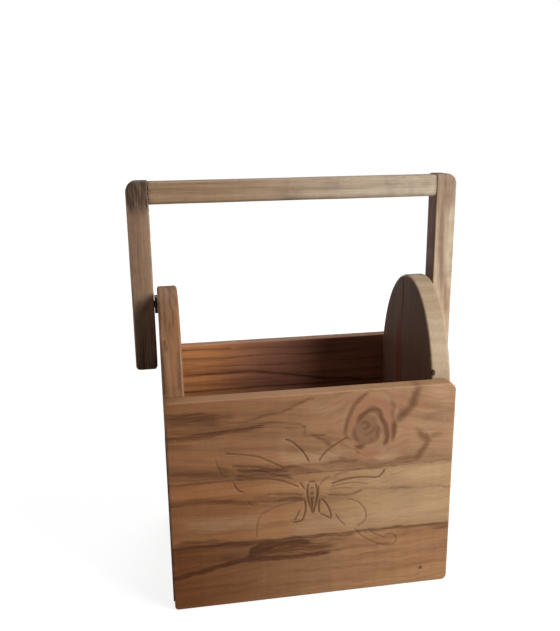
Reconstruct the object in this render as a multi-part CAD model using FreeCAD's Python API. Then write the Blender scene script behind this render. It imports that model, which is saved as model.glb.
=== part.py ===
"""Small open wooden tote with arched ends and a swinging bail handle.

Millimetres, +Z up, +X to the right of someone facing the front board, front towards -Y.
The origin is the middle of the footprint, on the surface that the tote stands on.
"""
import FreeCAD, Part
import math
import os

from FreeCAD import Vector

# Box: two boards in front and behind, two arched panels between them, a raised bottom
board_length = 180.0
board_height = 139.5
board_thickness = 9.5
box_depth = 120.0
front_seam_shares = (0.308, 0.623)
back_seam_shares = (0.37, 0.745)
board_arris_radius = 1.0
board_rim_radius = 0.5
front_corner_radii = {"top_left": 1.6, "top_right": 5.0, "bottom_right": 3.6, "bottom_left": 2.4}
back_corner_radii = {"top_left": 2.4, "top_right": 2.4, "bottom_right": 2.4, "bottom_left": 2.4}

panel_thickness = 13.0
panel_outset = 0.7
panel_height = 196.0
arch_rise = 76.0
panel_seam_share = 0.14
panel_arris_radius = 1.6

bottom_thickness = 10.0
bottom_raise = 5.0

# Bail handle: two square arms and a grip bar butted between them
arm_thickness = 13.8
arm_depth = 14.2
arm_reach_up = 78.7
arm_reach_down = 42.0
arm_shoulder_radius = 6.5
arm_foot_radius = 2.6
arm_arris_radius = 1.1
arm_inner_corner_radius = 1.3
bar_height = 13.8
bar_step_down = 0.7
bar_grip_radius = 3.2
bar_arris_radius = 1.5

dowel_diameter = 6.0
dowel_length = 24.0
dowel_depth_share = 0.65
dowel_point = 0.6

# Pivots: one countersunk wood screw a side, over two washers, held in the panel
pivot_below_crown = 11.0
washer_diameter = 12.0
washer_thickness = 0.9
washers_per_side = 2
washer_play = 0.2
screw_diameter = 4.6
screw_grip_share = 0.7
screw_head_diameter = 9.0
screw_head_sink = 0.4
screw_tip_length = 5.0
screw_tip_diameter = 1.4
recess_width = 1.3
recess_length = 5.0
recess_depth = 2.0
pivot_clearance = 0.3

# Brads: headed nails, punched below the surface
brad_diameter = 1.4
brad_length = 25.0
brad_head_diameter = 2.2
brad_head_thickness = 0.6
brad_set_depth = 1.0
brad_height_shares = (0.18, 0.49, 0.83)
brad_from_panel = 4.5
end_brad_share = 0.5

# How far cutters run past a face, and how much of a corner's radius an arris on it may take
overrun = 2.0
arris_limit_share = 0.8

# Worked out from the sizes above
panel_outer_x = board_length / 2 + panel_outset
panel_inner_x = panel_outer_x - panel_thickness
wall_inner_y = box_depth / 2 - board_thickness
arm_inner_x = panel_outer_x + washers_per_side * washer_thickness + washer_play
arm_outer_x = arm_inner_x + arm_thickness
screw_head_x = arm_outer_x - screw_head_sink
screw_length = screw_head_x - panel_outer_x + screw_grip_share * panel_thickness
dowel_outer_x = arm_inner_x + dowel_depth_share * arm_thickness
pivot_height = panel_height - pivot_below_crown
bar_top = pivot_height + arm_reach_up - bar_step_down
bar_middle = bar_top - bar_height / 2
bottom_middle = bottom_raise + bottom_thickness / 2
HANDS = ("left", "right")
WALLS = ("front", "back")


def sign(place):
    """-1 on the left and in front, 1 on the right and behind."""
    return -1 if place in ("left", "front") else 1


def block(x_span, y_span, z_span):
    """A rectangular block between two values along each axis."""
    x0, x1 = sorted(x_span)
    y0, y1 = sorted(y_span)
    z0, z1 = sorted(z_span)
    return Part.makeBox(x1 - x0, y1 - y0, z1 - z0, Vector(x0, y0, z0))


def rod(start, direction, length, diameter):
    """A round rod from a point along a direction."""
    return Part.makeCylinder(diameter / 2, length, start, direction)


def edges_where(solid, test):
    """The edges whose every vertex, and whose middle, pass a test."""
    found = []
    for edge in solid.Edges:
        middle = edge.valueAt((edge.FirstParameter + edge.LastParameter) / 2)
        points = [vertex.Point for vertex in edge.Vertexes] + [middle]
        if all(test(point) for point in points):
            found.append(edge)
    return found


def near(value, target):
    """True where two lengths are the same but for rounding."""
    return math.isclose(value, target, rel_tol=1e-6, abs_tol=1e-4)


def corner(centre, radius, quarter):
    """A quarter arc in the XZ plane, counted anticlockwise from +X in quarter turns."""
    turns = (quarter, quarter + 0.5, quarter + 1)
    ends = [Vector(math.cos(turn * math.pi / 2), 0, math.sin(turn * math.pi / 2)) for turn in turns]
    return Part.Arc(*[centre + radius * end for end in ends]).toShape()


def rounded_plate(x_span, z_span, radii, y_span):
    """A plate in the XZ plane with its own radius at each corner, thick along Y."""
    x0, x1 = sorted(x_span)
    z0, z1 = sorted(z_span)
    y0, y1 = sorted(y_span)
    names = ("top_right", "top_left", "bottom_left", "bottom_right")
    signs = ((1, 1), (-1, 1), (-1, -1), (1, -1))
    arcs = []
    for quarter, (name, (sx, sz)) in enumerate(zip(names, signs)):
        radius = radii[name]
        centre = Vector((x1 if sx > 0 else x0) - sx * radius, y0, (z1 if sz > 0 else z0) - sz * radius)
        arcs.append(corner(centre, radius, quarter))
    edges = []
    for arc, following in zip(arcs, arcs[1:] + arcs[:1]):
        start, end = arc.Vertexes[-1].Point, following.Vertexes[0].Point
        edges += [arc, Part.LineSegment(start, end).toShape()]
    return outline_face(edges).extrude(Vector(0, y1 - y0, 0))


def outline_face(edges):
    """The flat face inside a closed outline, its edges in any order."""
    return Part.Face(Part.Wire(Part.sortEdges(edges)[0]))


def eased(solid, radius, test):
    """The solid with a small radius on the edges that pass a test."""
    return solid.makeFillet(radius, edges_where(solid, test))


def split(solid, axis, cuts):
    """The solid sawn into slices across the axis "x", "y" or "z" at the given places, lowest first."""
    bounds = solid.BoundBox
    spans = {
        "x": (bounds.XMin - overrun, bounds.XMax + overrun),
        "y": (bounds.YMin - overrun, bounds.YMax + overrun),
        "z": (bounds.ZMin - overrun, bounds.ZMax + overrun),
    }
    places = [spans[axis][0], *cuts, spans[axis][-1]]
    slices = []
    for start, end in zip(places, places[1:]):
        spans[axis] = (start, end)
        slices.append(solid.common(block(*spans.values())))
    return slices


def ellipse_quarter(y_radius, z_radius, centre, side):
    """A quarter of an ellipse in the YZ plane, from its springing at one side to its crown."""
    y_axis, z_axis = Vector(0, side * y_radius, 0), Vector(0, 0, z_radius)
    middle = centre + (y_axis + z_axis) * math.sqrt(0.5)
    major, minor = (z_axis, y_axis) if z_radius > y_radius else (y_axis, z_axis)
    ellipse = Part.Ellipse(centre + major, centre + minor, centre)
    ends = sorted(ellipse.parameter(centre + axis) for axis in (y_axis, z_axis))
    through = ellipse.parameter(middle)
    if not ends[0] < through < ends[1]:
        ends = [ends[1], ends[0] + 2 * math.pi]
    return Part.ArcOfEllipse(ellipse, *ends).toShape()


def brad(point, direction):
    """A headed brad driven at a surface point, its head punched below the surface."""
    head_top = point + direction * brad_set_depth
    head = rod(head_top, direction, brad_head_thickness, brad_head_diameter)
    return head.fuse(rod(head_top, direction, brad_length, brad_diameter)).removeSplitter()


def board_brads(wall):
    """Brads through the front or back board, into the panels' edges and the bottom's edge."""
    surface_y = sign(wall) * box_depth / 2
    inward = Vector(0, -sign(wall), 0)
    bottom_brad_x = panel_inner_x - brad_from_panel
    places = [(0, bottom_middle)]
    for hand in HANDS:
        places.append((sign(hand) * bottom_brad_x, bottom_middle))
        for share in brad_height_shares:
            places.append((sign(hand) * (panel_outer_x - panel_thickness / 2), share * board_height))
    return [brad(Vector(x, surface_y, z), inward) for x, z in places]


def end_brads():
    """Brads through both panels into the ends of the bottom."""
    made = []
    for hand in HANDS:
        for wall in WALLS:
            brad_y = sign(wall) * end_brad_share * wall_inner_y
            point = Vector(sign(hand) * panel_outer_x, brad_y, bottom_middle)
            made.append(brad(point, Vector(-sign(hand), 0, 0)))
    return made


def board(wall, radii):
    """The whole front or back board, before it is parted into its staves."""
    outer_y, inner_y = sign(wall) * box_depth / 2, sign(wall) * wall_inner_y
    plate = rounded_plate((-board_length / 2, board_length / 2), (0, board_height), radii, (outer_y, inner_y))
    arris = min(board_arris_radius, arris_limit_share * min(radii.values()))
    plate = eased(plate, arris, lambda point: near(point.y, outer_y))
    plate = eased(
        plate,
        board_rim_radius,
        lambda point: near(point.y, inner_y) and near(point.z, board_height),
    )
    return plate


def end_panel(hand):
    """The whole arched panel at one end: upright sides and a half ellipse on top."""
    inner_x, outer_x = sign(hand) * panel_inner_x, sign(hand) * panel_outer_x
    spring = Vector(inner_x, 0, panel_height - arch_rise)
    corners = [Vector(inner_x, sign(wall) * wall_inner_y, 0) for wall in WALLS]
    shoulders = [Vector(inner_x, sign(wall) * wall_inner_y, spring.z) for wall in WALLS]
    edges = [Part.LineSegment(corners[0], corners[1]).toShape()]
    edges += [Part.LineSegment(low, high).toShape() for low, high in zip(corners, shoulders)]
    edges += [ellipse_quarter(wall_inner_y, arch_rise, spring, sign(wall)) for wall in WALLS]
    panel = outline_face(edges).extrude(Vector(outer_x - inner_x, 0, 0))
    return eased(
        panel,
        panel_arris_radius,
        lambda point: (near(point.x, inner_x) or near(point.x, outer_x)) and point.z > spring.z / 2,
    )


def pivot_screw(hand):
    """A countersunk wood screw along X, its head just below the arm's outer face."""
    inward = Vector(-sign(hand), 0, 0)
    head_face = Vector(sign(hand) * screw_head_x, 0, pivot_height)
    head_height = (screw_head_diameter - screw_diameter) / 2
    head = Part.makeCone(screw_head_diameter / 2, screw_diameter / 2, head_height, head_face, inward)
    shank = rod(head_face, inward, screw_length - screw_tip_length, screw_diameter)
    tip_start = head_face + inward * (screw_length - screw_tip_length)
    tip = Part.makeCone(screw_diameter / 2, screw_tip_diameter / 2, screw_tip_length, tip_start, inward)
    screw = head.fuse([shank, tip]).removeSplitter()
    for y_size, z_size in ((recess_length, recess_width), (recess_width, recess_length)):
        slot = block(
            (head_face.x - inward.x * overrun, head_face.x + inward.x * recess_depth),
            (-y_size / 2, y_size / 2),
            (pivot_height - z_size / 2, pivot_height + z_size / 2),
        )
        screw = screw.cut(slot)
    return screw


def pivot_bore(hand):
    """What the arm's hole takes away: a clearance bore with a countersink."""
    inward = Vector(-sign(hand), 0, 0)
    mouth = Vector(sign(hand) * arm_outer_x, 0, pivot_height)
    mouth_radius = screw_head_diameter / 2 + pivot_clearance
    bore_diameter = screw_diameter + 2 * pivot_clearance
    sink_depth = mouth_radius - bore_diameter / 2
    straight = rod(mouth, inward, screw_head_sink, 2 * mouth_radius)
    cone_start = mouth + inward * screw_head_sink
    cone = Part.makeCone(mouth_radius, bore_diameter / 2, sink_depth, cone_start, inward)
    bore = rod(mouth, inward, arm_thickness + overrun, bore_diameter)
    return bore.fuse([straight, cone])


def pivot_washers(hand):
    """The flat washers that keep an arm off its panel, side by side on the screw."""
    outward = Vector(sign(hand), 0, 0)
    washers = []
    for index in range(washers_per_side):
        start = Vector(sign(hand) * (panel_outer_x + index * washer_thickness), 0, pivot_height)
        disc = rod(start, outward, washer_thickness, washer_diameter)
        washers.append(disc.cut(rod(start, outward, washer_thickness, screw_diameter + pivot_clearance)))
    return washers


def handle_arm(hand):
    """One upright arm: rounded outside at the shoulder, softened at the foot, bored for its pivot."""
    radii = {"bottom_left": arm_foot_radius, "bottom_right": arm_foot_radius}
    for other in HANDS:
        radii[f"top_{other}"] = arm_shoulder_radius if other == hand else arm_inner_corner_radius
    x_span = (sign(hand) * arm_inner_x, sign(hand) * arm_outer_x)
    z_span = (pivot_height - arm_reach_down, pivot_height + arm_reach_up)
    arm = rounded_plate(x_span, z_span, radii, (-arm_depth / 2, arm_depth / 2))
    arris = min(arm_arris_radius, arris_limit_share * min(radii.values()))
    arm = eased(arm, arris, lambda point: near(abs(point.y), arm_depth / 2))
    return arm.cut(pivot_bore(hand))


def handle_bar():
    """The grip bar between the arms, its lower edges rounded for the fingers."""
    low, high = bar_top - bar_height, bar_top
    bar = block((-arm_inner_x, arm_inner_x), (-arm_depth / 2, arm_depth / 2), (low, high))
    for radius, height in ((bar_grip_radius, low), (bar_arris_radius, high)):
        bar = eased(bar, radius, lambda point: near(abs(point.y), arm_depth / 2) and near(point.z, height))
    return bar


def bar_dowel(hand):
    """A glued dowel across the butt joint of arm and bar, its ends chamfered."""
    inward = Vector(-sign(hand), 0, 0)
    start = Vector(sign(hand) * dowel_outer_x, 0, bar_middle)
    dowel = rod(start, inward, dowel_length, dowel_diameter)
    rims = [edge for edge in dowel.Edges if edge.Closed]
    return dowel.makeChamfer(dowel_point, rims)


def drilled(solid, hardware):
    """The solid with room for the hardware that passes into it."""
    for item in hardware:
        if solid.BoundBox.intersect(item.BoundBox):
            solid = solid.cut(item)
    return solid


def build():
    """Every node's name with the list of solids in it."""
    nodes = {f"{wall}_brads": board_brads(wall) for wall in WALLS}
    nodes["panel_brads"] = end_brads()
    for hand in HANDS:
        nodes[f"{hand}_pivot_screw"] = [pivot_screw(hand)]
        nodes[f"{hand}_bar_dowel"] = [bar_dowel(hand)]
    hardware = [solid for solids in nodes.values() for solid in solids]
    wall_plans = {
        "front": (front_corner_radii, front_seam_shares),
        "back": (back_corner_radii, back_seam_shares),
    }
    for wall, (radii, seam_shares) in wall_plans.items():
        seams = [share * board_height for share in seam_shares]
        for place, stave in zip(("bottom", "middle", "top"), split(board(wall, radii), "z", seams)):
            nodes[f"{wall}_{place}_stave"] = [drilled(stave, hardware)]
    floor = block(
        (-panel_inner_x, panel_inner_x),
        (-wall_inner_y, wall_inner_y),
        (bottom_raise, bottom_raise + bottom_thickness),
    )
    for place, stave in zip(("front", "rear"), split(floor, "y", (0,))):
        nodes[f"bottom_{place}_stave"] = [drilled(stave, hardware)]
    for hand in HANDS:
        staves = split(end_panel(hand), "y", (panel_seam_share * wall_inner_y,))
        for place, stave in zip(("front", "rear"), staves):
            nodes[f"{hand}_panel_{place}_stave"] = [drilled(stave, hardware)]
        nodes[f"{hand}_pivot_washers"] = pivot_washers(hand)
        nodes[f"{hand}_handle_arm"] = [handle_arm(hand).cut(nodes[f"{hand}_bar_dowel"][0])]
    nodes["handle_bar"] = [drilled(handle_bar(), hardware)]
    return nodes


os.makedirs("parts", exist_ok=True)
for name, solids in build().items():
    shape = solids[0] if len(solids) == 1 else Part.makeCompound(solids)
    count = len(shape.Solids)
    print(f"{name}: {count} solid(s), {shape.Volume:.1f} mm3, valid {shape.isValid()}")
    shape.exportStep(f"parts/{name}.step")
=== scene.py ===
"""Looks of a small open wooden tote with a swinging bail handle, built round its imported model.

Metres, +Z up, front towards -Y. Shapes are worked out in millimetres and scaled once, in solid_piece.
"""
import math

import bpy
import numpy as np
from mathutils import Matrix, Vector


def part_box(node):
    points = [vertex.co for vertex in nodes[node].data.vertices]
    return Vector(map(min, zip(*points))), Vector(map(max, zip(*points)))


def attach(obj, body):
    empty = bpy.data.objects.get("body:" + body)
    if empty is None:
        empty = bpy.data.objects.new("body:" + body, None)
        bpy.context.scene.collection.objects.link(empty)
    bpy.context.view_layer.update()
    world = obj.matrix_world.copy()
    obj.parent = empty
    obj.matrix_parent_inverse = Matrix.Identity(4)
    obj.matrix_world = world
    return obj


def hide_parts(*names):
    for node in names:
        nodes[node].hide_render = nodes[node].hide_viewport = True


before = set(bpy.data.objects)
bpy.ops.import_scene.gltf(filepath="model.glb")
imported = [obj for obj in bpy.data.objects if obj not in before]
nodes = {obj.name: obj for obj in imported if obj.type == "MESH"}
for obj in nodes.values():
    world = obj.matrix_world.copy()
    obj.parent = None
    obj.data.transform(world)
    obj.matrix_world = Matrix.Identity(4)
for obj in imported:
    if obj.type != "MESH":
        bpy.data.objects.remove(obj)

MM = 0.001
X, Y, Z = 0, 1, 2
TINY = 1e-9
SHARP_ANGLE = math.radians(50)
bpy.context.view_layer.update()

# Roundings of the real pieces, in millimetres
BOARD_ARRIS = 1.0
BOARD_RIM = 0.5
SEAM_EASE = 0.16
FRONT_CORNERS = {"bottom_left": 2.4, "bottom_right": 3.6, "top_right": 5.0, "top_left": 1.6}
BACK_CORNERS = dict.fromkeys(FRONT_CORNERS, 2.4)
SQUARE_CORNERS = dict.fromkeys(FRONT_CORNERS, 0.0)
PANEL_ARRIS = 1.6
ARCH_RISE = 76.0
ARM_ARRIS = 1.1
ARM_SHOULDER = 6.5
ARM_FOOT = 2.6
BAR_UPPER_ARRIS = 1.5
BAR_GRIP_ARRIS = 3.2

# Grid steps over a rounded arris, what a span may be short of a whole step, and how far along a side the
# middle of a corner's arc lies, as a share of its radius
END_STEPS = 6
STEP_SLACK = 1e-6
HALF_ARC = 1 - math.sqrt(0.5)

# Unevenness: how many waves are added up, and how much their lengths differ
WAVES = 6
WAVE_LENGTHS = (0.7, 1.6)


# Grids

def stations(low, high, pitch, zones=(), ends=(0.0, 0.0), multiple=1):
    """Places from low to high, pitch apart, closer inside each (start, end, pitch) zone.

    Over an end of length e they stand at e * (1 - sin t) for equal steps of t, which suits a rounded arris.
    """
    at, stop = low + ends[0], high - ends[1]
    spans = []
    for zone_low, zone_high, fine in sorted(zones):
        zone_low, zone_high = max(zone_low, at), min(zone_high, stop)
        if zone_high > zone_low:
            spans += [(at, zone_low, pitch), (zone_low, zone_high, fine)]
            at = zone_high
    spans.append((at, stop, pitch))
    spans = [span for span in spans if span[1] - span[0] > STEP_SLACK]
    steps = [math.ceil((span[1] - span[0]) / span[2] - STEP_SLACK) for span in spans]
    longest = max(range(len(spans)), key=lambda i: spans[i][1] - spans[i][0])
    rounded_ends = sum(END_STEPS for end in ends if end)
    while (sum(steps) + rounded_ends) % multiple:
        steps[longest] += 1
    turn = np.linspace(math.pi / 2, 0, END_STEPS + 1)[:-1]
    places = [low + ends[0] * (1 - np.sin(turn))] if ends[0] else []
    for (start, end, _), count in zip(spans, steps):
        places.append(np.linspace(start, end, count + 1)[:-1])
    places.append([high - ends[1]])
    if ends[1]:
        places.append(high - ends[1] * (1 - np.sin(turn[::-1])))
    return np.concatenate(places)


def round_drop(distance, radius):
    """How far a quarter round has fallen at a distance d from its edge: r - sqrt(r^2 - (r - d)^2)."""
    inside = np.clip(radius - distance, 0, radius)
    return radius - np.sqrt(np.maximum(radius * radius - inside * inside, 0))


def plate_sides(spans, radii, u, v):
    """Four sides of a rectangle with rounded corners, each from one corner arc's middle to the next's."""
    (a0, a1), (b0, b1) = spans
    bl, br, tr, tl = (radii[name] for name in ("bottom_left", "bottom_right", "top_right", "top_left"))

    def side(share, low, high, first, last):
        """Places along a side, and how far the roundings of its two corners draw it in."""
        along = low + HALF_ARC * first + share * (high - low - HALF_ARC * (first + last))
        return along, round_drop(along - low, first) + round_drop(high - along, last)

    bottom_a, bottom_in = side(u, a0, a1, bl, br)
    top_a, top_in = side(u, a0, a1, tl, tr)
    left_b, left_in = side(v, b0, b1, bl, tl)
    right_b, right_in = side(v, b0, b1, br, tr)
    bottom = np.stack([bottom_a, b0 + bottom_in], 1)
    top = np.stack([top_a, b1 - top_in], 1)
    left = np.stack([a0 + left_in, left_b], 1)
    right = np.stack([a1 - right_in, right_b], 1)
    return bottom, right, top, left


def patch(bottom, right, top, left, u, v):
    """A grid that fills four sides: both ruled surfaces added up, less the blend of the four corners."""
    u, v = u[:, None, None], v[None, :, None]
    ruled = (1 - v) * bottom[:, None] + v * top[:, None] + (1 - u) * left[None] + u * right[None]
    low = (1 - u) * bottom[0] + u * bottom[-1]
    high = (1 - u) * top[0] + u * top[-1]
    return ruled - (1 - v) * low - v * high


def plate_plan(spans, radii, u, v):
    """A grid that fills a rectangle with rounded corners."""
    return patch(*plate_sides(spans, radii, u, v), u, v)


def shares(places):
    """Places as shares of the way from the first to the last."""
    return (places - places[0]) / (places[-1] - places[0])


def plate_distance(a, b, spans, radii):
    """Distance inwards from the outline of a rectangle with its own radius at each corner."""
    (a0, a1), (b0, b1) = spans
    right, upper = a > (a0 + a1) / 2, b > (b0 + b1) / 2
    low_radius = np.where(right, radii["bottom_right"], radii["bottom_left"])
    high_radius = np.where(right, radii["top_right"], radii["top_left"])
    radius = np.where(upper, high_radius, low_radius)
    qa = np.abs(a - (a0 + a1) / 2) - (a1 - a0) / 2 + radius
    qb = np.abs(b - (b0 + b1) / 2) - (b1 - b0) / 2 + radius
    outside = np.hypot(np.maximum(qa, 0), np.maximum(qb, 0))
    return np.maximum(radius - outside - np.minimum(np.maximum(qa, qb), 0), 0)


def ripple(points, wavelength, seed):
    """A smooth unevenness from 0 to 1: the mean of a few sine waves that cross in seeded directions."""
    draw = np.random.default_rng(seed)
    directions = draw.normal(size=(WAVES, 3))
    directions /= np.linalg.norm(directions, axis=1)[:, None]
    lengths = wavelength * draw.uniform(*WAVE_LENGTHS, WAVES)
    phases = draw.uniform(0, 2 * math.pi, WAVES)
    waves = np.sin(2 * math.pi * (points @ directions.T) / lengths + phases)
    return np.clip(0.5 + waves.mean(axis=1), 0, 1)


def drift(points, spread, wavelength, seed):
    """A smooth unevenness about 0, up to half the spread either way."""
    return spread * (ripple(points, wavelength, seed) - 0.5)


def fading(distance, reach):
    """1 at no distance, falling evenly to 0 at the reach, on both sides."""
    return np.clip(1 - np.abs(distance) / reach, 0, 1)


def ring_of(columns, rows, start):
    """Indices round the border of a grid, anticlockwise, one for each border point."""
    index = start + np.arange(columns * rows).reshape(columns, rows)
    return np.concatenate([index[:-1, 0], index[-1, :-1], index[:0:-1, -1], index[0, :0:-1]])


def grid_faces(columns, rows, start):
    """The quads of a grid, anticlockwise in its own plane."""
    index = start + np.arange(columns * rows).reshape(columns, rows)
    return np.stack([index[:-1, :-1], index[1:, :-1], index[1:, 1:], index[:-1, 1:]], -1).reshape(-1, 4)


def closed_slab(near, far, wall_steps):
    """Points and faces of a slab: a near grid, a far grid, and straight walls between their borders.

    Both grids are arrays of points. The near border may have a whole number of points to each far one.
    """
    near_count, far_count = near.shape[0] * near.shape[1], far.shape[0] * far.shape[1]
    points = [near.reshape(-1, 3), far.reshape(-1, 3)]
    near_ring = ring_of(near.shape[0], near.shape[1], 0)
    far_ring = ring_of(far.shape[0], far.shape[1], near_count)
    fine = len(near_ring) // len(far_ring)
    far_points = far.reshape(-1, 3)[far_ring - near_count]
    place = np.arange(len(near_ring)) / fine
    whole = place.astype(int)
    part = (place - whole)[:, None]
    following = np.roll(far_points, -1, axis=0)
    far_fine = far_points[whole] * (1 - part) + following[whole] * part
    start_points = points[0][near_ring]
    rings, last = [near_ring], near_ring
    top = near_count + far_count
    for step in range(1, wall_steps):
        share = step / wall_steps
        points.append(start_points * (1 - share) + far_fine * share)
        last = top + np.arange(len(near_ring))
        rings.append(last)
        top += len(near_ring)
    faces = grid_faces(near.shape[0], near.shape[1], 0).tolist()
    faces += grid_faces(far.shape[0], far.shape[1], near_count)[:, ::-1].tolist()
    for ring, inner in zip(rings, rings[1:]):
        faces += np.stack([ring, inner, np.roll(inner, -1), np.roll(ring, -1)], 1).tolist()
    spread = (np.arange(len(far_ring))[:, None] * fine + np.arange(fine, -1, -1)[None]) % len(near_ring)
    closing = np.concatenate([far_ring[:, None], np.roll(far_ring, -1)[:, None], last[spread]], 1)
    faces += closing.tolist()
    return np.concatenate(points), faces


def face_normals(points, faces):
    """Unit normals at the points: the normals of the faces round them added up, weighed by area."""
    total = np.zeros_like(points)
    for size in {len(face) for face in faces}:
        group = np.array([face for face in faces if len(face) == size])
        corners = points[group]
        middle = corners.mean(axis=1, keepdims=True)
        spokes = corners - middle
        normal = np.cross(spokes, np.roll(spokes, -1, axis=1)).sum(axis=1)
        for column in range(size):
            np.add.at(total, group[:, column], normal)
    return total / np.maximum(np.linalg.norm(total, axis=1), TINY)[:, None]


def signed_volume(points, faces):
    """Six times the volume inside the faces, negative where they point inwards."""
    total = 0.0
    for size in {len(face) for face in faces}:
        corners = points[np.array([face for face in faces if len(face) == size])]
        for i in range(1, size - 1):
            total += np.einsum("ij,ij->i", corners[:, 0], np.cross(corners[:, i], corners[:, i + 1])).sum()
    return total


def solid_piece(name, points, faces, marks, material, body, replaced):
    """A mesh object from points in millimetres, riding on a body in place of its model's node."""
    mesh = bpy.data.meshes.new(name)
    mesh.from_pydata((points * MM).tolist(), [], faces)
    for mark, values in marks.items():
        vector = np.ndim(values) > 1
        layer = mesh.attributes.new(mark, "FLOAT_VECTOR" if vector else "FLOAT", "POINT")
        layer.data.foreach_set("vector" if vector else "value", np.asarray(values, np.float32).ravel())
    mesh.polygons.foreach_set("use_smooth", np.ones(len(mesh.polygons), bool))
    mesh.set_sharp_from_angle(angle=SHARP_ANGLE)
    mesh.materials.append(material)
    piece = bpy.data.objects.new(name, mesh)
    bpy.context.scene.collection.objects.link(piece)
    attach(piece, body)
    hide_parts(*replaced)


SANDING_LENGTH = 38.0


def worked_slab(near, far, wall_steps, waviness, seed):
    """A closed slab, faces outwards, every face drawn in unevenly, as hand sanding leaves it."""
    points, faces = closed_slab(near, far, wall_steps)
    if signed_volume(points, faces) < 0:
        faces = [face[::-1] for face in faces]
    normals = face_normals(points, faces)
    return points - normals * (waviness * ripple(points, SANDING_LENGTH, seed))[:, None], faces


def box_mm(node):
    """Lowest and highest corners of a node of the model, in millimetres."""
    low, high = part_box(node)
    return np.array(low) / MM, np.array(high) / MM


def arris_share(points, outline_distance, thickness_axis, levels, reach):
    """1 on an arris and 0 from reach inwards: the second smallest distance to outline and faces decides."""
    low, high = sorted(levels)
    across = points[:, thickness_axis]
    distances = np.sort(np.stack([outline_distance, across - low, high - across]), axis=0)[1]
    return fading(np.maximum(distances, 0), reach) ** 2


# Strokes on the boards are placed on a face plan: eighths of a millimetre, to the right and down, from
# half a millimetre above the board's top left corner
PLAN_UNIT = 0.125
PLAN_CORNER = np.array([-90.0, 140.0])

# Points of a straight stroke, the longest fade at a stroke's end as a share of its length, how long it is
# in widths of a painted stroke, and the shorter waves of a stroke's wander up the board
STRAIGHT_POINTS = 12
LONGEST_FADE = 0.4
PAINT_FADE = 2.2
UPWARD_WAVES = 0.8


def from_plan(stops):
    """Places on the face plan as millimetres from the board's middle and from the floor."""
    return PLAN_CORNER + np.asarray(stops, float) * (PLAN_UNIT, -PLAN_UNIT)


def smooth_line(stops, step=0.5):
    """A line through given stops: cubic blends whose slopes follow the neighbours (Catmull-Rom)."""
    stops = np.asarray(stops, float)
    if len(stops) == 2:
        return np.linspace(stops[0], stops[1], STRAIGHT_POINTS)
    padded = np.concatenate([[2 * stops[0] - stops[1]], stops, [2 * stops[-1] - stops[-2]]])
    lines = []
    for before, start, end, after in zip(padded, padded[1:], padded[2:], padded[3:]):
        count = max(int(np.linalg.norm(end - start) / step), 2)
        t = np.linspace(0, 1, count, endpoint=False)[:, None]
        cubic = -before + 3 * start - 3 * end + after
        square = 2 * before - 5 * start + 4 * end - after
        lines.append(start + 0.5 * t * ((end - before) + t * (square + t * cubic)))
    return np.concatenate(lines + [stops[-1:]])


def nearness(a, b, stops, width, fade):
    """How near each place is to a stroke: 1 on its line, falling evenly to 0 at its width.

    It also fades in over the first and last millimetres of the stroke, as many as fade says, though never
    over more of its length than LONGEST_FADE.
    """
    line = smooth_line(stops)
    result = np.zeros(a.shape)
    low, high = line.min(axis=0) - width, line.max(axis=0) + width
    near = (a > low[0]) & (a < high[0]) & (b > low[1]) & (b < high[1])
    if not near.any():
        return result
    place = np.stack([a[near], b[near]], 1)
    start, along = line[:-1], np.diff(line, axis=0)
    lengths = np.maximum(np.linalg.norm(along, axis=1), TINY)
    passed = np.concatenate([[0], np.cumsum(lengths)])
    best = np.full(len(place), np.inf)
    walked = np.zeros(len(place))
    for i in range(len(start)):
        offset = place - start[i]
        t = np.clip(offset @ along[i] / lengths[i] ** 2, 0, 1)
        distance = np.linalg.norm(offset - t[:, None] * along[i], axis=1)
        closer = distance < best
        best[closer] = distance[closer]
        walked[closer] = passed[i] + t[closer] * lengths[i]
    from_end = np.minimum(walked, passed[-1] - walked)
    result[near] = fading(best, width) * np.clip(from_end / min(fade, LONGEST_FADE * passed[-1]), 0, 1)
    return result


def painted(a, b, strokes, wander=(1.6, 0.9), reach=11.0):
    """Strokes laid over each other, the strongest showing, their courses made a little uneven.

    A stroke's strength falls across its width as n * (3 - n) / 2, n being its nearness.
    """
    place = np.stack([a, b, 0 * a], -1)
    a = a + drift(place, wander[0], reach, seed=7)
    b = b + drift(place, wander[1], UPWARD_WAVES * reach, seed=8)
    mark = np.zeros(a.shape)
    for stops, width, strength in strokes:
        near = nearness(a, b, stops, width, PAINT_FADE * width)
        mark = np.maximum(mark, strength * near * (3 - near) / 2)
    return mark


def on_plan(strokes):
    """Strokes of the face plan in millimetres."""
    return [(from_plan(stops), width, strength) for stops, width, strength in strokes]


def cut_profile(near):
    """Depth of a carved line across its width: a cosine, round at the bottom and easing out at the rims."""
    return 0.5 * (1 - np.cos(math.pi * near))


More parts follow.
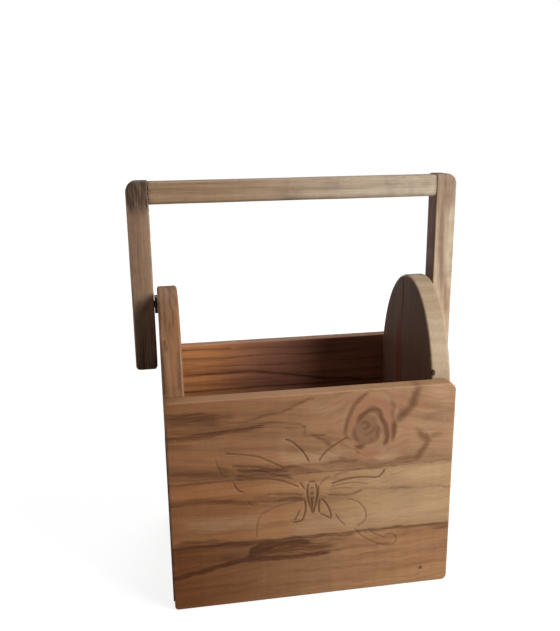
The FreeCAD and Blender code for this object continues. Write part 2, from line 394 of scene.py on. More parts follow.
# Line-carved butterfly: stops of each stroke, and how deep it is cut as a share of the deepest
BUTTERFLY = [
    ([(562, 230), (600, 247), (640, 285), (670, 326), (692, 372)], 0.95),
    ([(734, 368), (760, 330), (798, 296), (840, 270), (884, 246)], 0.85),
    ([(684, 482), (690, 473), (712, 472), (722, 484)], 0.95),
    ([(686, 476), (679, 520), (685, 575), (706, 654)], 1.0),
    ([(720, 478), (729, 530), (724, 588), (706, 654)], 1.0),
    ([(737, 488), (735, 520), (730, 562)], 0.7),
    ([(690, 512), (702, 506), (714, 514)], 0.7),
    ([(688, 545), (702, 537), (718, 546)], 0.8),
    ([(690, 574), (704, 562), (718, 574)], 0.9),
    ([(700, 560), (703, 600), (706, 640)], 0.95),
    ([(640, 462), (652, 488), (670, 516)], 0.8),
    ([(568, 386), (505, 350), (440, 315), (370, 297), (266, 280)], 0.75),
    ([(226, 300), (238, 345), (254, 388), (292, 414)], 0.35),
    ([(300, 350), (370, 358), (450, 374), (540, 402)], 0.5),
    ([(392, 384), (460, 396), (540, 424), (610, 452)], 0.65),
    ([(640, 498), (580, 466), (520, 444), (440, 431), (316, 428)], 0.75),
    ([(310, 436), (322, 466), (340, 488), (370, 498)], 0.8),
    ([(664, 542), (600, 530), (540, 524), (470, 520)], 0.5),
    ([(652, 560), (600, 554), (560, 556), (524, 566)], 0.7),
    ([(376, 534), (392, 566), (440, 574)], 0.4),
    ([(656, 568), (600, 578), (530, 590), (474, 610), (440, 638), (424, 680), (420, 760)], 0.36),
    ([(667, 566), (671, 610), (666, 644), (650, 682), (600, 692)], 0.95),
    ([(644, 616), (630, 648), (608, 684)], 0.75),
    ([(796, 496), (850, 481), (900, 473), (960, 472), (1034, 480), (1062, 467), (1082, 436)], 1.0),
    ([(1076, 432), (990, 430), (890, 432), (806, 456)], 0.4),
    ([(790, 512), (860, 500), (930, 500), (1000, 514)], 0.5),
    ([(780, 530), (850, 522), (920, 532)], 0.4),
    ([(742, 500), (762, 470), (800, 446)], 0.4),
    ([(776, 554), (850, 560), (910, 560), (966, 544)], 0.5),
    ([(876, 584), (932, 602), (970, 640), (986, 684), (974, 724), (930, 748)], 0.50),
    ([(820, 652), (846, 700), (884, 742)], 0.5),
    ([(745, 566), (738, 612), (742, 656)], 1.0),
    ([(740, 652), (770, 668), (808, 690)], 1.0),
    ([(806, 688), (792, 632), (768, 590), (748, 566)], 0.95),
    ([(924, 756), (950, 788), (990, 824), (1040, 854), (1092, 872), (1126, 874), (1150, 854), (1144, 826),
      (1116, 810), (1080, 818)], 0.50),
    ([(996, 768), (1032, 800), (1072, 820), (1096, 836)], 0.5),
]
# Half the width of a cut, its depth and how far its ends fade, in millimetres, and how much wider than the
# cut its dark is
CARVE_WIDTH = 1.1
CARVE_DEPTH = 0.32
CARVE_FADE = 1.6
CARVE_MARK = 1.1

# Dark streaks of the front board's wood: stops, width in millimetres, strength
STREAKS = [
    ([(20, -60), (8, 200), (14, 560), (8, 900), (16, 1180)], 13.0, 0.22),
    ([(-60, 98), (100, 92), (200, 100), (330, 118)], 5.6, 0.80),
    ([(-40, 68), (110, 68), (220, 78), (340, 104)], 1.8, 0.58),
    ([(-60, 128), (80, 124), (200, 128)], 3.4, 0.45),
    ([(-60, 154), (150, 150), (320, 144)], 4.0, 0.45),
    ([(240, 112), (330, 126), (420, 128)], 2.0, 0.50),
    ([(-60, 184), (60, 186), (120, 181), (200, 173), (260, 166), (330, 161), (500, 150)], 3.2, 0.78),
    ([(-40, 192), (120, 190), (250, 182)], 1.8, 0.70),
    ([(320, 134), (400, 120), (450, 105), (500, 97), (560, 82), (600, 68), (640, 50), (690, 33), (740, 26)],
     1.8, 0.50),
    ([(420, 96), (500, 78), (600, 48), (720, 14)], 3.6, 0.26),
    ([(320, 134), (420, 135), (480, 138), (540, 140), (600, 148), (640, 162), (666, 180), (674, 204),
      (674, 236)], 2.0, 0.56),
    ([(360, 146), (440, 152), (540, 160), (620, 172), (668, 196)], 3.2, 0.40),
    ([(676, 206), (720, 228), (756, 250), (790, 276), (820, 288)], 2.4, 0.60),
    ([(690, 226), (740, 226), (806, 214)], 2.2, 0.48),
    ([(740, 240), (800, 252), (850, 250)], 1.8, 0.30),
    ([(770, 200), (800, 210), (840, 226)], 1.8, 0.35),
    ([(826, 362), (852, 356), (890, 366)], 2.4, 0.35),
    ([(-40, 372), (100, 376), (250, 384), (350, 392)], 4.0, 0.48),
    ([(-40, 400), (140, 404), (300, 408)], 2.4, 0.36),
    ([(230, 320), (262, 360), (310, 396)], 3.4, 0.42),
    ([(300, 350), (400, 366), (520, 386)], 3.0, 0.42),
    ([(320, 378), (430, 388), (520, 392), (610, 404)], 2.6, 0.80),
    ([(300, 404), (420, 410), (520, 418), (620, 436)], 2.0, 0.66),
    ([(540, 378), (700, 380), (850, 380), (960, 376)], 2.2, 0.50),
    ([(560, 402), (800, 402), (1000, 408), (1200, 412), (1480, 412)], 4.4, 0.33),
    ([(620, 414), (760, 418), (880, 422), (1000, 427), (1100, 430), (1250, 432), (1480, 432)], 2.0, 0.36),
    ([(1100, 396), (1240, 392), (1360, 396), (1480, 404)], 2.8, 0.34),
    ([(-40, 428), (200, 428), (420, 430), (600, 446)], 2.0, 0.36),
    ([(-40, 512), (60, 512), (160, 518), (260, 522)], 3.0, 0.42),
    ([(-40, 532), (200, 532), (350, 550), (450, 546), (560, 552), (700, 564)], 2.8, 0.56),
    ([(380, 524), (440, 536), (520, 530)], 3.6, 0.36),
    ([(500, 520), (600, 536), (690, 552)], 2.6, 0.44),
    ([(640, 556), (720, 562), (840, 564), (920, 560)], 4.4, 0.46),
    ([(704, 486), (706, 560), (706, 620)], 4.2, 0.50),
    ([(740, 552), (830, 561), (870, 566), (920, 560), (950, 546), (990, 536), (1100, 545), (1200, 555),
      (1300, 560), (1480, 570)], 2.2, 0.46),
    ([(960, 556), (1100, 566), (1300, 580), (1480, 588)], 4.6, 0.20),
    ([(-40, 748), (150, 754), (300, 766)], 4.6, 0.66),
    ([(-40, 774), (150, 771), (300, 777), (450, 780)], 3.6, 0.92),
    ([(-40, 790), (120, 792), (300, 784)], 3.4, 0.46),
    ([(260, 776), (420, 778), (540, 782), (700, 779), (800, 784), (940, 786)], 2.2, 0.85),
    ([(860, 780), (1000, 778), (1200, 778), (1480, 784)], 2.0, 0.62),
    ([(1320, 790), (1400, 796), (1480, 800)], 3.2, 0.46),
    ([(560, 800), (760, 800), (940, 808)], 3.6, 0.50),
    ([(378, 870), (396, 836), (426, 810), (480, 797), (560, 800), (720, 806)], 3.2, 1.35),
    ([(376, 862), (410, 838), (450, 822), (530, 818)], 4.0, 1.30),
    ([(380, 846), (520, 838), (640, 840), (860, 852)], 6.4, 0.64),
    ([(330, 866), (420, 872), (480, 876), (560, 880), (640, 883), (820, 878)], 3.2, 1.10),
    ([(540, 850), (700, 862), (800, 868), (900, 862), (1000, 865), (1140, 868)], 2.6, 0.48),
    ([(300, 908), (520, 912), (700, 905), (920, 892)], 6.5, 0.38),
    ([(430, 856), (340, 873), (260, 887), (180, 905), (110, 920), (40, 931), (-40, 942)], 2.6, 1.25),
    ([(360, 846), (240, 862), (100, 884), (-40, 900)], 4.6, 0.36),
    ([(-40, 820), (120, 822), (300, 812)], 4.4, 0.24),
    ([(-40, 960), (160, 956), (330, 952)], 3.0, 0.30),
    ([(-40, 1010), (150, 1006), (300, 1012), (440, 998)], 2.4, 0.36),
    ([(580, 968), (760, 972), (900, 968), (1000, 975), (1140, 975)], 2.0, 0.36),
    ([(480, 912), (700, 918), (880, 910), (1200, 912)], 1.8, 0.30),
    ([(-40, 1090), (300, 1084), (700, 1080)], 3.0, 0.24),
    ([(1278, 1024), (1290, 1030), (1302, 1036)], 1.6, 1.20),
]

# Paler patches of the same board
PALE = [
    ([(1240, 16), (1340, 34), (1480, 60)], 8.0, 0.55),
    ([(1380, 20), (1400, 120), (1400, 200)], 7.0, 0.30),
    ([(500, 300), (640, 340), (800, 340), (900, 350)], 6.0, 0.60),
    ([(1000, 362), (1080, 372), (1170, 356)], 4.6, 0.60),
    ([(30, 640), (240, 664), (560, 650)], 8.0, 0.52),
    ([(520, 300), (560, 250), (600, 200)], 6.0, 0.30),
    ([(640, 60), (760, 90), (860, 140)], 8.0, 0.30),
    ([(540, 720), (800, 712), (1100, 700), (1480, 680)], 9.0, 0.60),
    ([(1000, 470), (1240, 470), (1480, 470)], 6.0, 0.40),
    ([(1000, 900), (1200, 910), (1480, 900)], 9.0, 0.22),
    ([(60, 230), (200, 240), (330, 230)], 5.5, 0.25),
    ([(100, 462), (240, 470), (420, 480)], 5.0, 0.15),
]

# The knot: its middle and half sizes, how far its grain runs on round it in millimetres a radian, how its
# outline wanders (by what share, over how many millimetres), and the shrunk ring round it, in half sizes
KNOT = from_plan((988, 200))
KNOT_SIZE = np.array([14.0, 16.0])
KNOT_TWIST = 2.0
KNOT_WANDER = (0.28, 14.0)
GROOVE_PLACE, GROOVE_WIDTH, GROOVE_DEPTH = 0.95, 0.16, 0.10

# The knot's eye, in the same way, with where it ends and over what width it fades
EYE = from_plan((984, 216))
EYE_SIZE = np.array([8.4, 10.6])
EYE_WANDER = (0.2, 8.0)
EYE_EDGE, EYE_FADE = 1.04, 0.16

# Dark and pink rings round the knot
KNOT_DARK = [
    ([(1000, 6), (950, 48), (912, 88), (892, 130), (880, 175), (871, 216), (866, 262)], 2.4, 0.72),
    ([(868, 204), (880, 250), (922, 262)], 2.4, 0.60),
    ([(930, 190), (948, 150), (975, 123), (1005, 112), (1034, 118), (1050, 140), (1062, 170), (1078, 205),
      (1085, 240), (1082, 280), (1072, 316)], 2.8, 0.90),
    ([(960, 122), (1010, 108), (1056, 136)], 3.6, 0.70),
    ([(1046, 140), (1062, 176), (1076, 216)], 3.0, 0.80),
    ([(1084, 244), (1080, 288), (1060, 314)], 3.0, 0.90),
    ([(930, 190), (918, 220), (926, 262), (946, 296)], 2.6, 0.60),
    ([(1252, -30), (1222, 70), (1205, 110), (1180, 140), (1150, 170), (1108, 212)], 4.4, 0.82),
    ([(1124, 150), (1121, 235), (1112, 306)], 2.8, 0.90),
    ([(1106, 40), (1112, 110), (1119, 196)], 2.8, 0.55),
    ([(1196, 110), (1160, 156), (1118, 204)], 5.0, 0.80),
    ([(946, 200), (960, 180), (982, 180), (992, 198), (974, 212), (950, 206)], 2.0, 0.66),
    ([(952, 232), (986, 240), (1016, 218), (1012, 184)], 1.6, 0.50),
    ([(914, 292), (944, 304), (984, 300)], 2.6, 0.90),
    ([(920, 334), (950, 338)], 1.8, 0.50),
    ([(1028, 180), (1038, 236), (1028, 300)], 2.4, 0.62),
    ([(990, 262), (1006, 272), (1000, 296)], 2.2, 0.50),
    ([(1234, 204), (1250, 243), (1272, 276), (1296, 300), (1292, 330), (1268, 364), (1240, 388),
      (1180, 400)], 3.8, 0.72),
    ([(1256, 250), (1290, 286), (1300, 306), (1280, 340)], 4.2, 0.76),
    ([(1270, 352), (1230, 386), (1130, 402)], 5.4, 0.50),
    ([(1276, 292), (1330, 276), (1394, 266)], 3.0, 0.50),
    ([(1258, 206), (1300, 176), (1340, 160), (1470, 146)], 3.4, 0.34),
    ([(1240, 350), (1320, 358), (1480, 350)], 5.4, 0.20),
]
KNOT_BLUSH = [
    ([(902, 240), (914, 152), (950, 96), (1000, 74), (1050, 84), (1082, 122), (1100, 170), (1107, 214),
      (1102, 300)], 4.4, 1.1),
    ([(960, 82), (1010, 76), (1046, 92)], 5.0, 0.9),
    ([(1144, 30), (1156, 90), (1150, 150)], 7.0, 0.85),
    ([(1240, 40), (1260, 80), (1250, 150)], 6.0, 0.55),
    ([(900, 310), (960, 334), (1010, 342), (1080, 326)], 4.6, 0.75),
    ([(1120, 290), (1160, 320), (1230, 330)], 6.0, 0.60),
    ([(1140, 230), (1190, 220), (1260, 230)], 7.0, 0.60),
    ([(850, 30), (890, 70), (872, 150)], 6.5, 0.50),
    ([(840, 180), (850, 240), (862, 300)], 5.0, 0.45),
    ([(1300, 200), (1350, 240), (1400, 330)], 9.0, 0.40),
]

# Dark lines along the back board, in the same plan
BACK_STREAKS = [
    ([(60, 84), (400, 88), (640, 84), (880, 96), (1200, 92)], 1.3, 0.66),
    ([(60, 30), (220, 28), (420, 34)], 1.3, 0.55),
    ([(60, 190), (320, 186), (505, 182), (736, 214), (984, 258), (1240, 284)], 1.7, 0.80),
    ([(96, 150), (400, 140), (760, 152)], 1.6, 0.36),
    ([(96, 236), (420, 232), (700, 246)], 1.3, 0.40),
    ([(0, 288), (500, 288), (1000, 290), (1440, 288)], 1.5, 0.66),
    ([(60, 330), (400, 346), (900, 336), (1400, 350)], 2.2, 0.38),
    ([(0, 440), (500, 456), (1000, 440), (1440, 460)], 2.6, 0.40),
    ([(0, 620), (400, 600), (900, 630), (1440, 610)], 1.6, 0.60),
    ([(0, 740), (500, 752), (1000, 736), (1440, 744)], 3.0, 0.45),
    ([(0, 900), (400, 880), (900, 910), (1440, 884)], 1.6, 0.60),
    ([(0, 1010), (600, 1020), (1440, 1000)], 2.6, 0.35),
]


def round_middle(a, b, middle, half_sizes):
    """Distances of places from a middle, in half sizes, and their turns round it."""
    across, up = (a - middle[0]) / half_sizes[0], (b - middle[1]) / half_sizes[1]
    return np.hypot(across, up), np.arctan2(up, across)


def flowing_grain(points):
    """Grain coordinates of the front board: along, across and through, drawn round the knot.

    Outside the knot the fibres run like a stream round a pillar, across = height * (1 - 1 / rho^2); inside,
    across is how far rho is short of 1, so that the rings close. rho is the distance in half sizes.
    """
    rho, angle = round_middle(points[:, X], points[:, Z], KNOT, KNOT_SIZE)
    rho = rho * (1 + drift(points, *KNOT_WANDER, seed=5))
    height = points[:, Z] - KNOT[1]
    outside = height * (1 - 1 / np.maximum(rho, 1) ** 2)
    inside = (np.minimum(rho, 1) - 1) * KNOT_SIZE.mean()
    across = np.where(rho > 1, outside, inside)
    along = np.where(rho > 1, points[:, X], KNOT[0] + KNOT_TWIST * angle)
    return np.stack([along, across, points[:, Y]], 1)


def eye_share(points):
    """1 inside the knot's eye, falling softly to 0 outside it."""
    rho, _ = round_middle(points[:, X], points[:, Z], EYE, EYE_SIZE)
    return np.clip((EYE_EDGE - rho * (1 + drift(points, *EYE_WANDER, seed=6))) / EYE_FADE, 0, 1)


def knot_groove(a, b):
    """The shrinkage round the knot: a ring whose depth falls off as exp(-d^2) to both sides."""
    rho, _ = round_middle(a, b, KNOT, KNOT_SIZE)
    return GROOVE_DEPTH * np.exp(-((rho - GROOVE_PLACE) / GROOVE_WIDTH) ** 2)


# Shader node helpers

def put(tree, kind, inputs=None, **settings):
    """A node with its settings; each input is set to a value or wired to another node's output."""
    made = tree.nodes.new(kind)
    for key, value in settings.items():
        setattr(made, key, value)
    for key, value in (inputs or {}).items():
        if isinstance(value, bpy.types.NodeSocket):
            tree.links.new(value, made.inputs[key])
        else:
            made.inputs[key].default_value = value
    return made


def calc(tree, operation, a, b=0.0, clamp=False):
    """One step of arithmetic."""
    return put(tree, "ShaderNodeMath", {0: a, 1: b}, operation=operation, use_clamp=clamp).outputs[0]


def vector_calc(tree, operation, a, b=(0, 0, 0), output="Vector"):
    """One step of vector arithmetic."""
    return put(tree, "ShaderNodeVectorMath", {0: a, 1: b}, operation=operation).outputs[output]


def swing(tree, noise, reach):
    """A noise made to swing about 0, by half its reach either way."""
    return calc(tree, "MULTIPLY", calc(tree, "SUBTRACT", noise, 0.5), reach)


def object_place(tree):
    """Object coordinates in millimetres."""
    return vector_calc(tree, "MULTIPLY", put(tree, "ShaderNodeTexCoord").outputs["Object"], (1 / MM,) * 3)


def ramp(tree, value, low, high, to_low=0.0, to_high=1.0):
    """A value eased from one range into another, held at the ends."""
    ranges = {"Value": value, "From Min": low, "From Max": high, "To Min": to_low, "To Max": to_high}
    return put(tree, "ShaderNodeMapRange", ranges, interpolation_type="SMOOTHSTEP").outputs["Result"]


def mixed(tree, share, a, b, mode="MIX"):
    """Two colours mixed by a share."""
    made = put(tree, "ShaderNodeMix", {0: share, 6: a, 7: b}, data_type="RGBA", blend_type=mode)
    return made.outputs[2]


def stretched_noise(tree, vector, scale, detail=2.0, roughness=0.55):
    """Noise on coordinates that are scaled by their own factor on each axis."""
    inputs = {"Vector": vector_calc(tree, "MULTIPLY", vector, scale), "Scale": 1.0,
              "Detail": detail, "Roughness": roughness}
    return put(tree, "ShaderNodeTexNoise", inputs).outputs["Fac"]


SOCKET_KINDS = {1: "NodeSocketFloat", 3: "NodeSocketVector", 4: "NodeSocketColor"}


def new_group(name, inputs, outputs):
    """An empty node group: its inputs by their defaults, its outputs by how many numbers each carries."""
    group = bpy.data.node_groups.new(name, "ShaderNodeTree")
    for key, default in inputs.items():
        kind = SOCKET_KINDS[np.size(default)]
        group.interface.new_socket(name=key, in_out="INPUT", socket_type=kind).default_value = default
    for key, size in outputs.items():
        group.interface.new_socket(name=key, in_out="OUTPUT", socket_type=SOCKET_KINDS[size])
    return group, group.nodes.new("NodeGroupInput").outputs, group.nodes.new("NodeGroupOutput").inputs


# How fine the wood's noises are, in waves a millimetre along, across and through the grain; the bands and
# the lines count rings across it instead
FIGURE_WAVES = {
    "bend": (0.011, 0.045, 0.045),
    "bands": (0.006, 1.0, 1.0),
    "lines": (0.012, 4.6, 1.0),
    "fibres": (0.045, 1.5, 1.5),
    "hairs": (0.16, 4.2, 4.2),
    "ribbons": (0.28, 0.03, 0.03),
}

# Where the noises begin to show and show in full, in that order: late wood, the middle tone, dark lines and
# open pores; then how dark lines and pores get, how far lines draw pores in, and how much fibres lighten
LATE_WOOD, MIDDLE_TONE = (0.50, 0.68), (0.34, 0.56)
DARK_LINES, OPEN_PORES = (0.50, 0.74), (0.60, 0.72)
LINE_DARK, PORE_DARK = 0.45, 0.75
PORES_IN_LINES = 0.25
FIBRE_LIGHT = 1.6

# Heights of fibres and late wood in the relief, and depth of pores
FIBRE_HEIGHT, LATE_HEIGHT, PORE_DEPTH = 0.55, 0.2, 0.7


def wood_figure_group():
    """Bands, fibres and pores of a ring-porous hardwood, from grain coordinates in millimetres.

    A growth coordinate is the distance from the pith, bent by slow noise and tapering along the grain.
    Noise along it, stretched with the grain, gives the bands; finer ones give fibres and open pores.
    """
    tree, given, result = new_group(
        "wood_figure",
        {
            "Grain": (0, 0, 0),
            "Pith": (0, -120, 40),
            "Taper": 0.02,
            "Warp": 8.0,
            "Band": 7.0,
            "Light": (0.4, 0.22, 0.11, 1),
            "Middle": (0.3, 0.15, 0.07, 1),
            "Dark": (0.15, 0.065, 0.03, 1),
            "Contrast": 0.6,
            "Fibre": 0.5,
            "Pores": 0.5,
            "Ribbon": 0.16,
        },
        {"Colour": 4, "Fibres": 1, "Bands": 1, "Height": 1},
    )
    part = put(tree, "ShaderNodeSeparateXYZ", {0: given["Grain"]}).outputs
    slow = stretched_noise(tree, given["Grain"], FIGURE_WAVES["bend"])
    across = calc(tree, "ADD", part["Y"], swing(tree, slow, given["Warp"]))
    section = put(tree, "ShaderNodeCombineXYZ", {"Y": across, "Z": part["Z"]}).outputs[0]
    from_pith = vector_calc(tree, "SUBTRACT", section, given["Pith"])
    radius = vector_calc(tree, "LENGTH", from_pith, output="Value")
    growth = calc(tree, "ADD", radius, calc(tree, "MULTIPLY", part["X"], given["Taper"]))
    ring = calc(tree, "DIVIDE", growth, given["Band"])
    ring_place = put(tree, "ShaderNodeCombineXYZ", {"X": part["X"], "Y": ring}).outputs[0]
    bands = stretched_noise(tree, ring_place, FIGURE_WAVES["bands"], detail=3.0, roughness=0.6)
    lines = stretched_noise(tree, ring_place, FIGURE_WAVES["lines"], roughness=0.6)
    bent = {"X": part["X"], "Y": across, "Z": part["Z"]}
    fibre_place = put(tree, "ShaderNodeCombineXYZ", bent).outputs[0]
    fibres = stretched_noise(tree, fibre_place, FIGURE_WAVES["fibres"], detail=5.0, roughness=0.68)
    hairs = stretched_noise(tree, fibre_place, FIGURE_WAVES["hairs"], detail=1.5, roughness=0.6)
    late = ramp(tree, bands, *LATE_WOOD)
    pore_place = calc(tree, "ADD", hairs, swing(tree, lines, PORES_IN_LINES))
    pores = calc(tree, "MULTIPLY", ramp(tree, pore_place, *OPEN_PORES), given["Pores"])
    warm = mixed(tree, ramp(tree, bands, *MIDDLE_TONE), given["Light"], given["Middle"])
    line_share = calc(tree, "MULTIPLY", ramp(tree, lines, *DARK_LINES), LINE_DARK)
    dark_share = calc(tree, "MULTIPLY", calc(tree, "ADD", late, line_share, clamp=True), given["Contrast"])
    banded = mixed(tree, dark_share, warm, given["Dark"])
    fine = swing(tree, fibres, given["Fibre"])
    ribbon = swing(tree, stretched_noise(tree, given["Grain"], FIGURE_WAVES["ribbons"]), given["Ribbon"])
    lift = calc(tree, "ADD", calc(tree, "ADD", 1.0, ribbon), calc(tree, "MULTIPLY", fine, FIBRE_LIGHT))
    lift_colour = put(tree, "ShaderNodeCombineColor", {0: lift, 1: lift, 2: lift}).outputs[0]
    fibred = mixed(tree, 1.0, banded, lift_colour, "MULTIPLY")
    pored = mixed(tree, calc(tree, "MULTIPLY", pores, PORE_DARK), fibred, given["Dark"])
    fibre_height = calc(tree, "MULTIPLY", fibres, FIBRE_HEIGHT)
    relief = calc(tree, "ADD", fibre_height, calc(tree, "MULTIPLY", late, LATE_HEIGHT))
    height = calc(tree, "SUBTRACT", relief, calc(tree, "MULTIPLY", pores, PORE_DEPTH))
    for key, socket in {"Colour": pored, "Fibres": fibres, "Bands": bands, "Height": height}.items():
        tree.links.new(socket, result[key])
    return tree


# How far fibres and bands draw a mark's border, the strength at which they do so in full, and the fibres
# that take less of it: from where to where, and by how much
FIBRE_PULL, BAND_PULL = 3.0, 1.2
FULL_PULL = 0.35
DRY_FIBRES = (0.40, 0.62)
DRY_SHARE = 0.50


def streak_group():
    """A painted mark broken up by the wood's own fibres, so that its border follows the grain."""
    tree, given, result = new_group(
        "streaked",
        {
            "Colour": (0.3, 0.15, 0.07, 1),
            "Mark": 0.0,
            "Fibres": 0.5,
            "Bands": 0.5,
            "Stain": (0.06, 0.03, 0.018, 1),
            "Strength": 1.0,
            "Raggedness": 0.7,
        },
        {"Colour": 4},
    )
    fibre_pull, band_pull = swing(tree, given["Fibres"], FIBRE_PULL), swing(tree, given["Bands"], BAND_PULL)
    pull = calc(tree, "ADD", fibre_pull, band_pull)
    loose = calc(tree, "MULTIPLY", pull, given["Raggedness"])
    torn = calc(tree, "MULTIPLY", loose, ramp(tree, given["Mark"], 0.0, FULL_PULL))
    share = ramp(tree, calc(tree, "ADD", given["Mark"], torn), 0.0, 1.0)
    lean = ramp(tree, given["Fibres"], *DRY_FIBRES, DRY_SHARE, 0.0)
    kept = calc(tree, "SUBTRACT", 1.0, calc(tree, "MULTIPLY", lean, given["Raggedness"]))
    weighted = calc(tree, "MULTIPLY", calc(tree, "MULTIPLY", share, kept), given["Strength"], clamp=True)
    tree.links.new(mixed(tree, weighted, given["Colour"], given["Stain"]), result["Colour"])
    return tree


# Scuffs, in waves a millimetre; where they begin to rub an arris and do so in full; where dirt clouds begin
# and are full; and where scuffs leave least and most grime in a seam, with the least share
SCUFF_WAVES = (0.35, 0.35, 0.35)
RUB, DIRT, SEAM_GRIME = (0.35, 0.62), (0.50, 0.78), (0.2, 0.6)
LEAST_GRIME = 0.55


def handling_group():
    """Wear of a handled piece: arrises rubbed pale in places, grime in seams, and broad uneven stains."""
    tree, given, result = new_group(
        "handling",
        {
            "Colour": (0.3, 0.15, 0.07, 1),
            "Place": (0, 0, 0),
            "Arris": 0.0,
            "Seam": 0.0,
            "Rubbed": (0.45, 0.28, 0.16, 1),
            "Grime": (0.05, 0.028, 0.018, 1),
            "Wear": 0.4,
            "Dirt": 0.35,
            "Patch": 30.0,
        },
        {"Colour": 4},
    )
    broad = vector_calc(tree, "MULTIPLY", given["Place"], calc(tree, "DIVIDE", 1.0, given["Patch"]))
    cloud = put(tree, "ShaderNodeTexNoise", {"Vector": broad, "Scale": 1.0, "Detail": 4.0}).outputs["Fac"]
    scuffs = stretched_noise(tree, given["Place"], SCUFF_WAVES, detail=3.0)
    worn = calc(tree, "MULTIPLY", given["Arris"], ramp(tree, scuffs, *RUB))
    rubbed = mixed(tree, calc(tree, "MULTIPLY", worn, given["Wear"]), given["Colour"], given["Rubbed"])
    stained = calc(tree, "MULTIPLY", ramp(tree, cloud, *DIRT), given["Dirt"])
    in_seam = calc(tree, "MULTIPLY", given["Seam"], ramp(tree, scuffs, *SEAM_GRIME, LEAST_GRIME, 1.0))
    dirt = calc(tree, "MAXIMUM", stained, in_seam)
    tree.links.new(mixed(tree, dirt, rubbed, given["Grime"]), result["Colour"])
    return tree


FIGURE = wood_figure_group()
STREAKED = streak_group()
HANDLING = handling_group()


def colour(red, green, blue):
    """A colour given in linear light, opaque."""
    return (red, green, blue, 1.0)


def new_material(name):
    """An empty node material with its surface shader."""
    material = bpy.data.materials.new(name)
    material.use_nodes = True
    tree = material.node_tree
    tree.nodes.clear()
    shader = tree.nodes.new("ShaderNodeBsdfPrincipled")
    output = tree.nodes.new("ShaderNodeOutputMaterial")
    tree.links.new(shader.outputs[0], output.inputs["Surface"])
    return material, tree, shader


def attribute(tree, name, output="Fac"):
    """A mark that the mesh carries at its points."""
    return put(tree, "ShaderNodeAttribute", attribute_name=name).outputs[output]


def grain_place(tree, grain, shift):
    """Object coordinates in millimetres, turned so that the grain runs along X, and shifted."""
    turns = {"x": (0, 0, 0), "z": (0, math.pi / 2, 0), "y": (0, 0, math.pi / 2)}
    place = put(tree, "ShaderNodeTexCoord").outputs["Object"]
    mapping = {"Vector": place, "Location": shift, "Rotation": turns[grain], "Scale": (1 / MM,) * 3}
    return put(tree, "ShaderNodeMapping", mapping).outputs[0]


# Most of a noise's values lie in this span
NOISE_SPAN = (0.3, 0.7)

# Wood's sheen and relief: roughness over the span of its fibres, specular level, the share and depth of the
# grain's relief, and where a nail hole's dark begins to fade and ends, in its own half sizes
WOOD_ROUGHNESS = (0.50, 0.66)
WOOD_SPECULAR = 0.28
GRAIN_RELIEF, GRAIN_DEPTH = 0.12, 0.0006
HOLE_FADE = (0.7, 1.2)


def wood(name, light, middle, dark, grain="x", shift=(0, 0, 0), figure=None, wear=None, marks=(), far=None,
         own_grain=False, spot=None):
    """A wood finish: the figure, painted marks, a second tone towards +X where asked, then handling wear.

    far holds the tones towards +X and the span over which they take over, in millimetres. Each mark is the
    name of the mesh's own mark, the colour it lays, its strength and how ragged the grain makes it. spot is
    a place in millimetres with a small dark nail hole.
    """
    material, tree, shader = new_material(name)
    place = attribute(tree, "grain", "Vector") if own_grain else grain_place(tree, grain, shift)
    flat = object_place(tree)
    if far:
        across = put(tree, "ShaderNodeSeparateXYZ", {0: flat}).outputs["X"]
        step = ramp(tree, across, *far["span"])
        light = mixed(tree, step, light, far["light"])
        middle = mixed(tree, step, middle, far["middle"])
    settings = {"Grain": place, "Light": light, "Middle": middle, "Dark": dark, **(figure or {})}
    wood_node = put(tree, "ShaderNodeGroup", settings, node_tree=FIGURE).outputs
    fibres, bands = wood_node["Fibres"], wood_node["Bands"]
    surface = wood_node["Colour"]
    for mark, stain_and_shade, strength, raggedness in marks:
        settings = {"Colour": surface, "Mark": attribute(tree, mark), "Fibres": fibres, "Bands": bands,
                    "Stain": stain_and_shade, "Strength": strength, "Raggedness": raggedness}
        surface = put(tree, "ShaderNodeGroup", settings, node_tree=STREAKED).outputs["Colour"]
    if spot:
        rounded = vector_calc(tree, "DIVIDE", vector_calc(tree, "SUBTRACT", flat, spot), NAIL_HOLE_REACH)
        away = vector_calc(tree, "LENGTH", rounded, output="Value")
        surface = mixed(tree, ramp(tree, away, *HOLE_FADE, 1.0, 0.0), surface, PIT)
    settings = {"Colour": surface, "Place": flat, "Arris": attribute(tree, "arris"),
                "Seam": attribute(tree, "seam"), **(wear or {})}
    handled = put(tree, "ShaderNodeGroup", settings, node_tree=HANDLING).outputs["Colour"]
    tree.links.new(handled, shader.inputs["Base Color"])
    tree.links.new(ramp(tree, fibres, *NOISE_SPAN, *WOOD_ROUGHNESS), shader.inputs["Roughness"])
    shader.inputs["Specular IOR Level"].default_value = WOOD_SPECULAR
    settings = {"Height": wood_node["Height"], "Strength": GRAIN_RELIEF, "Distance": GRAIN_DEPTH}
    tree.links.new(put(tree, "ShaderNodeBump", settings).outputs[0], shader.inputs["Normal"])
    return material


# Waves a metre of the film and of the rust on steel; where rust begins and is full, and how metallic it
# is; how dark the film gets, and its relief: share and depth
FILM_WAVES = 900.0
RUST_WAVES = 420.0
RUST_SPAN = (0.52, 0.66)
RUST_METAL = 0.15
FILM_DARK = 0.7
FILM_RELIEF, FILM_DEPTH = 0.15, 0.0001


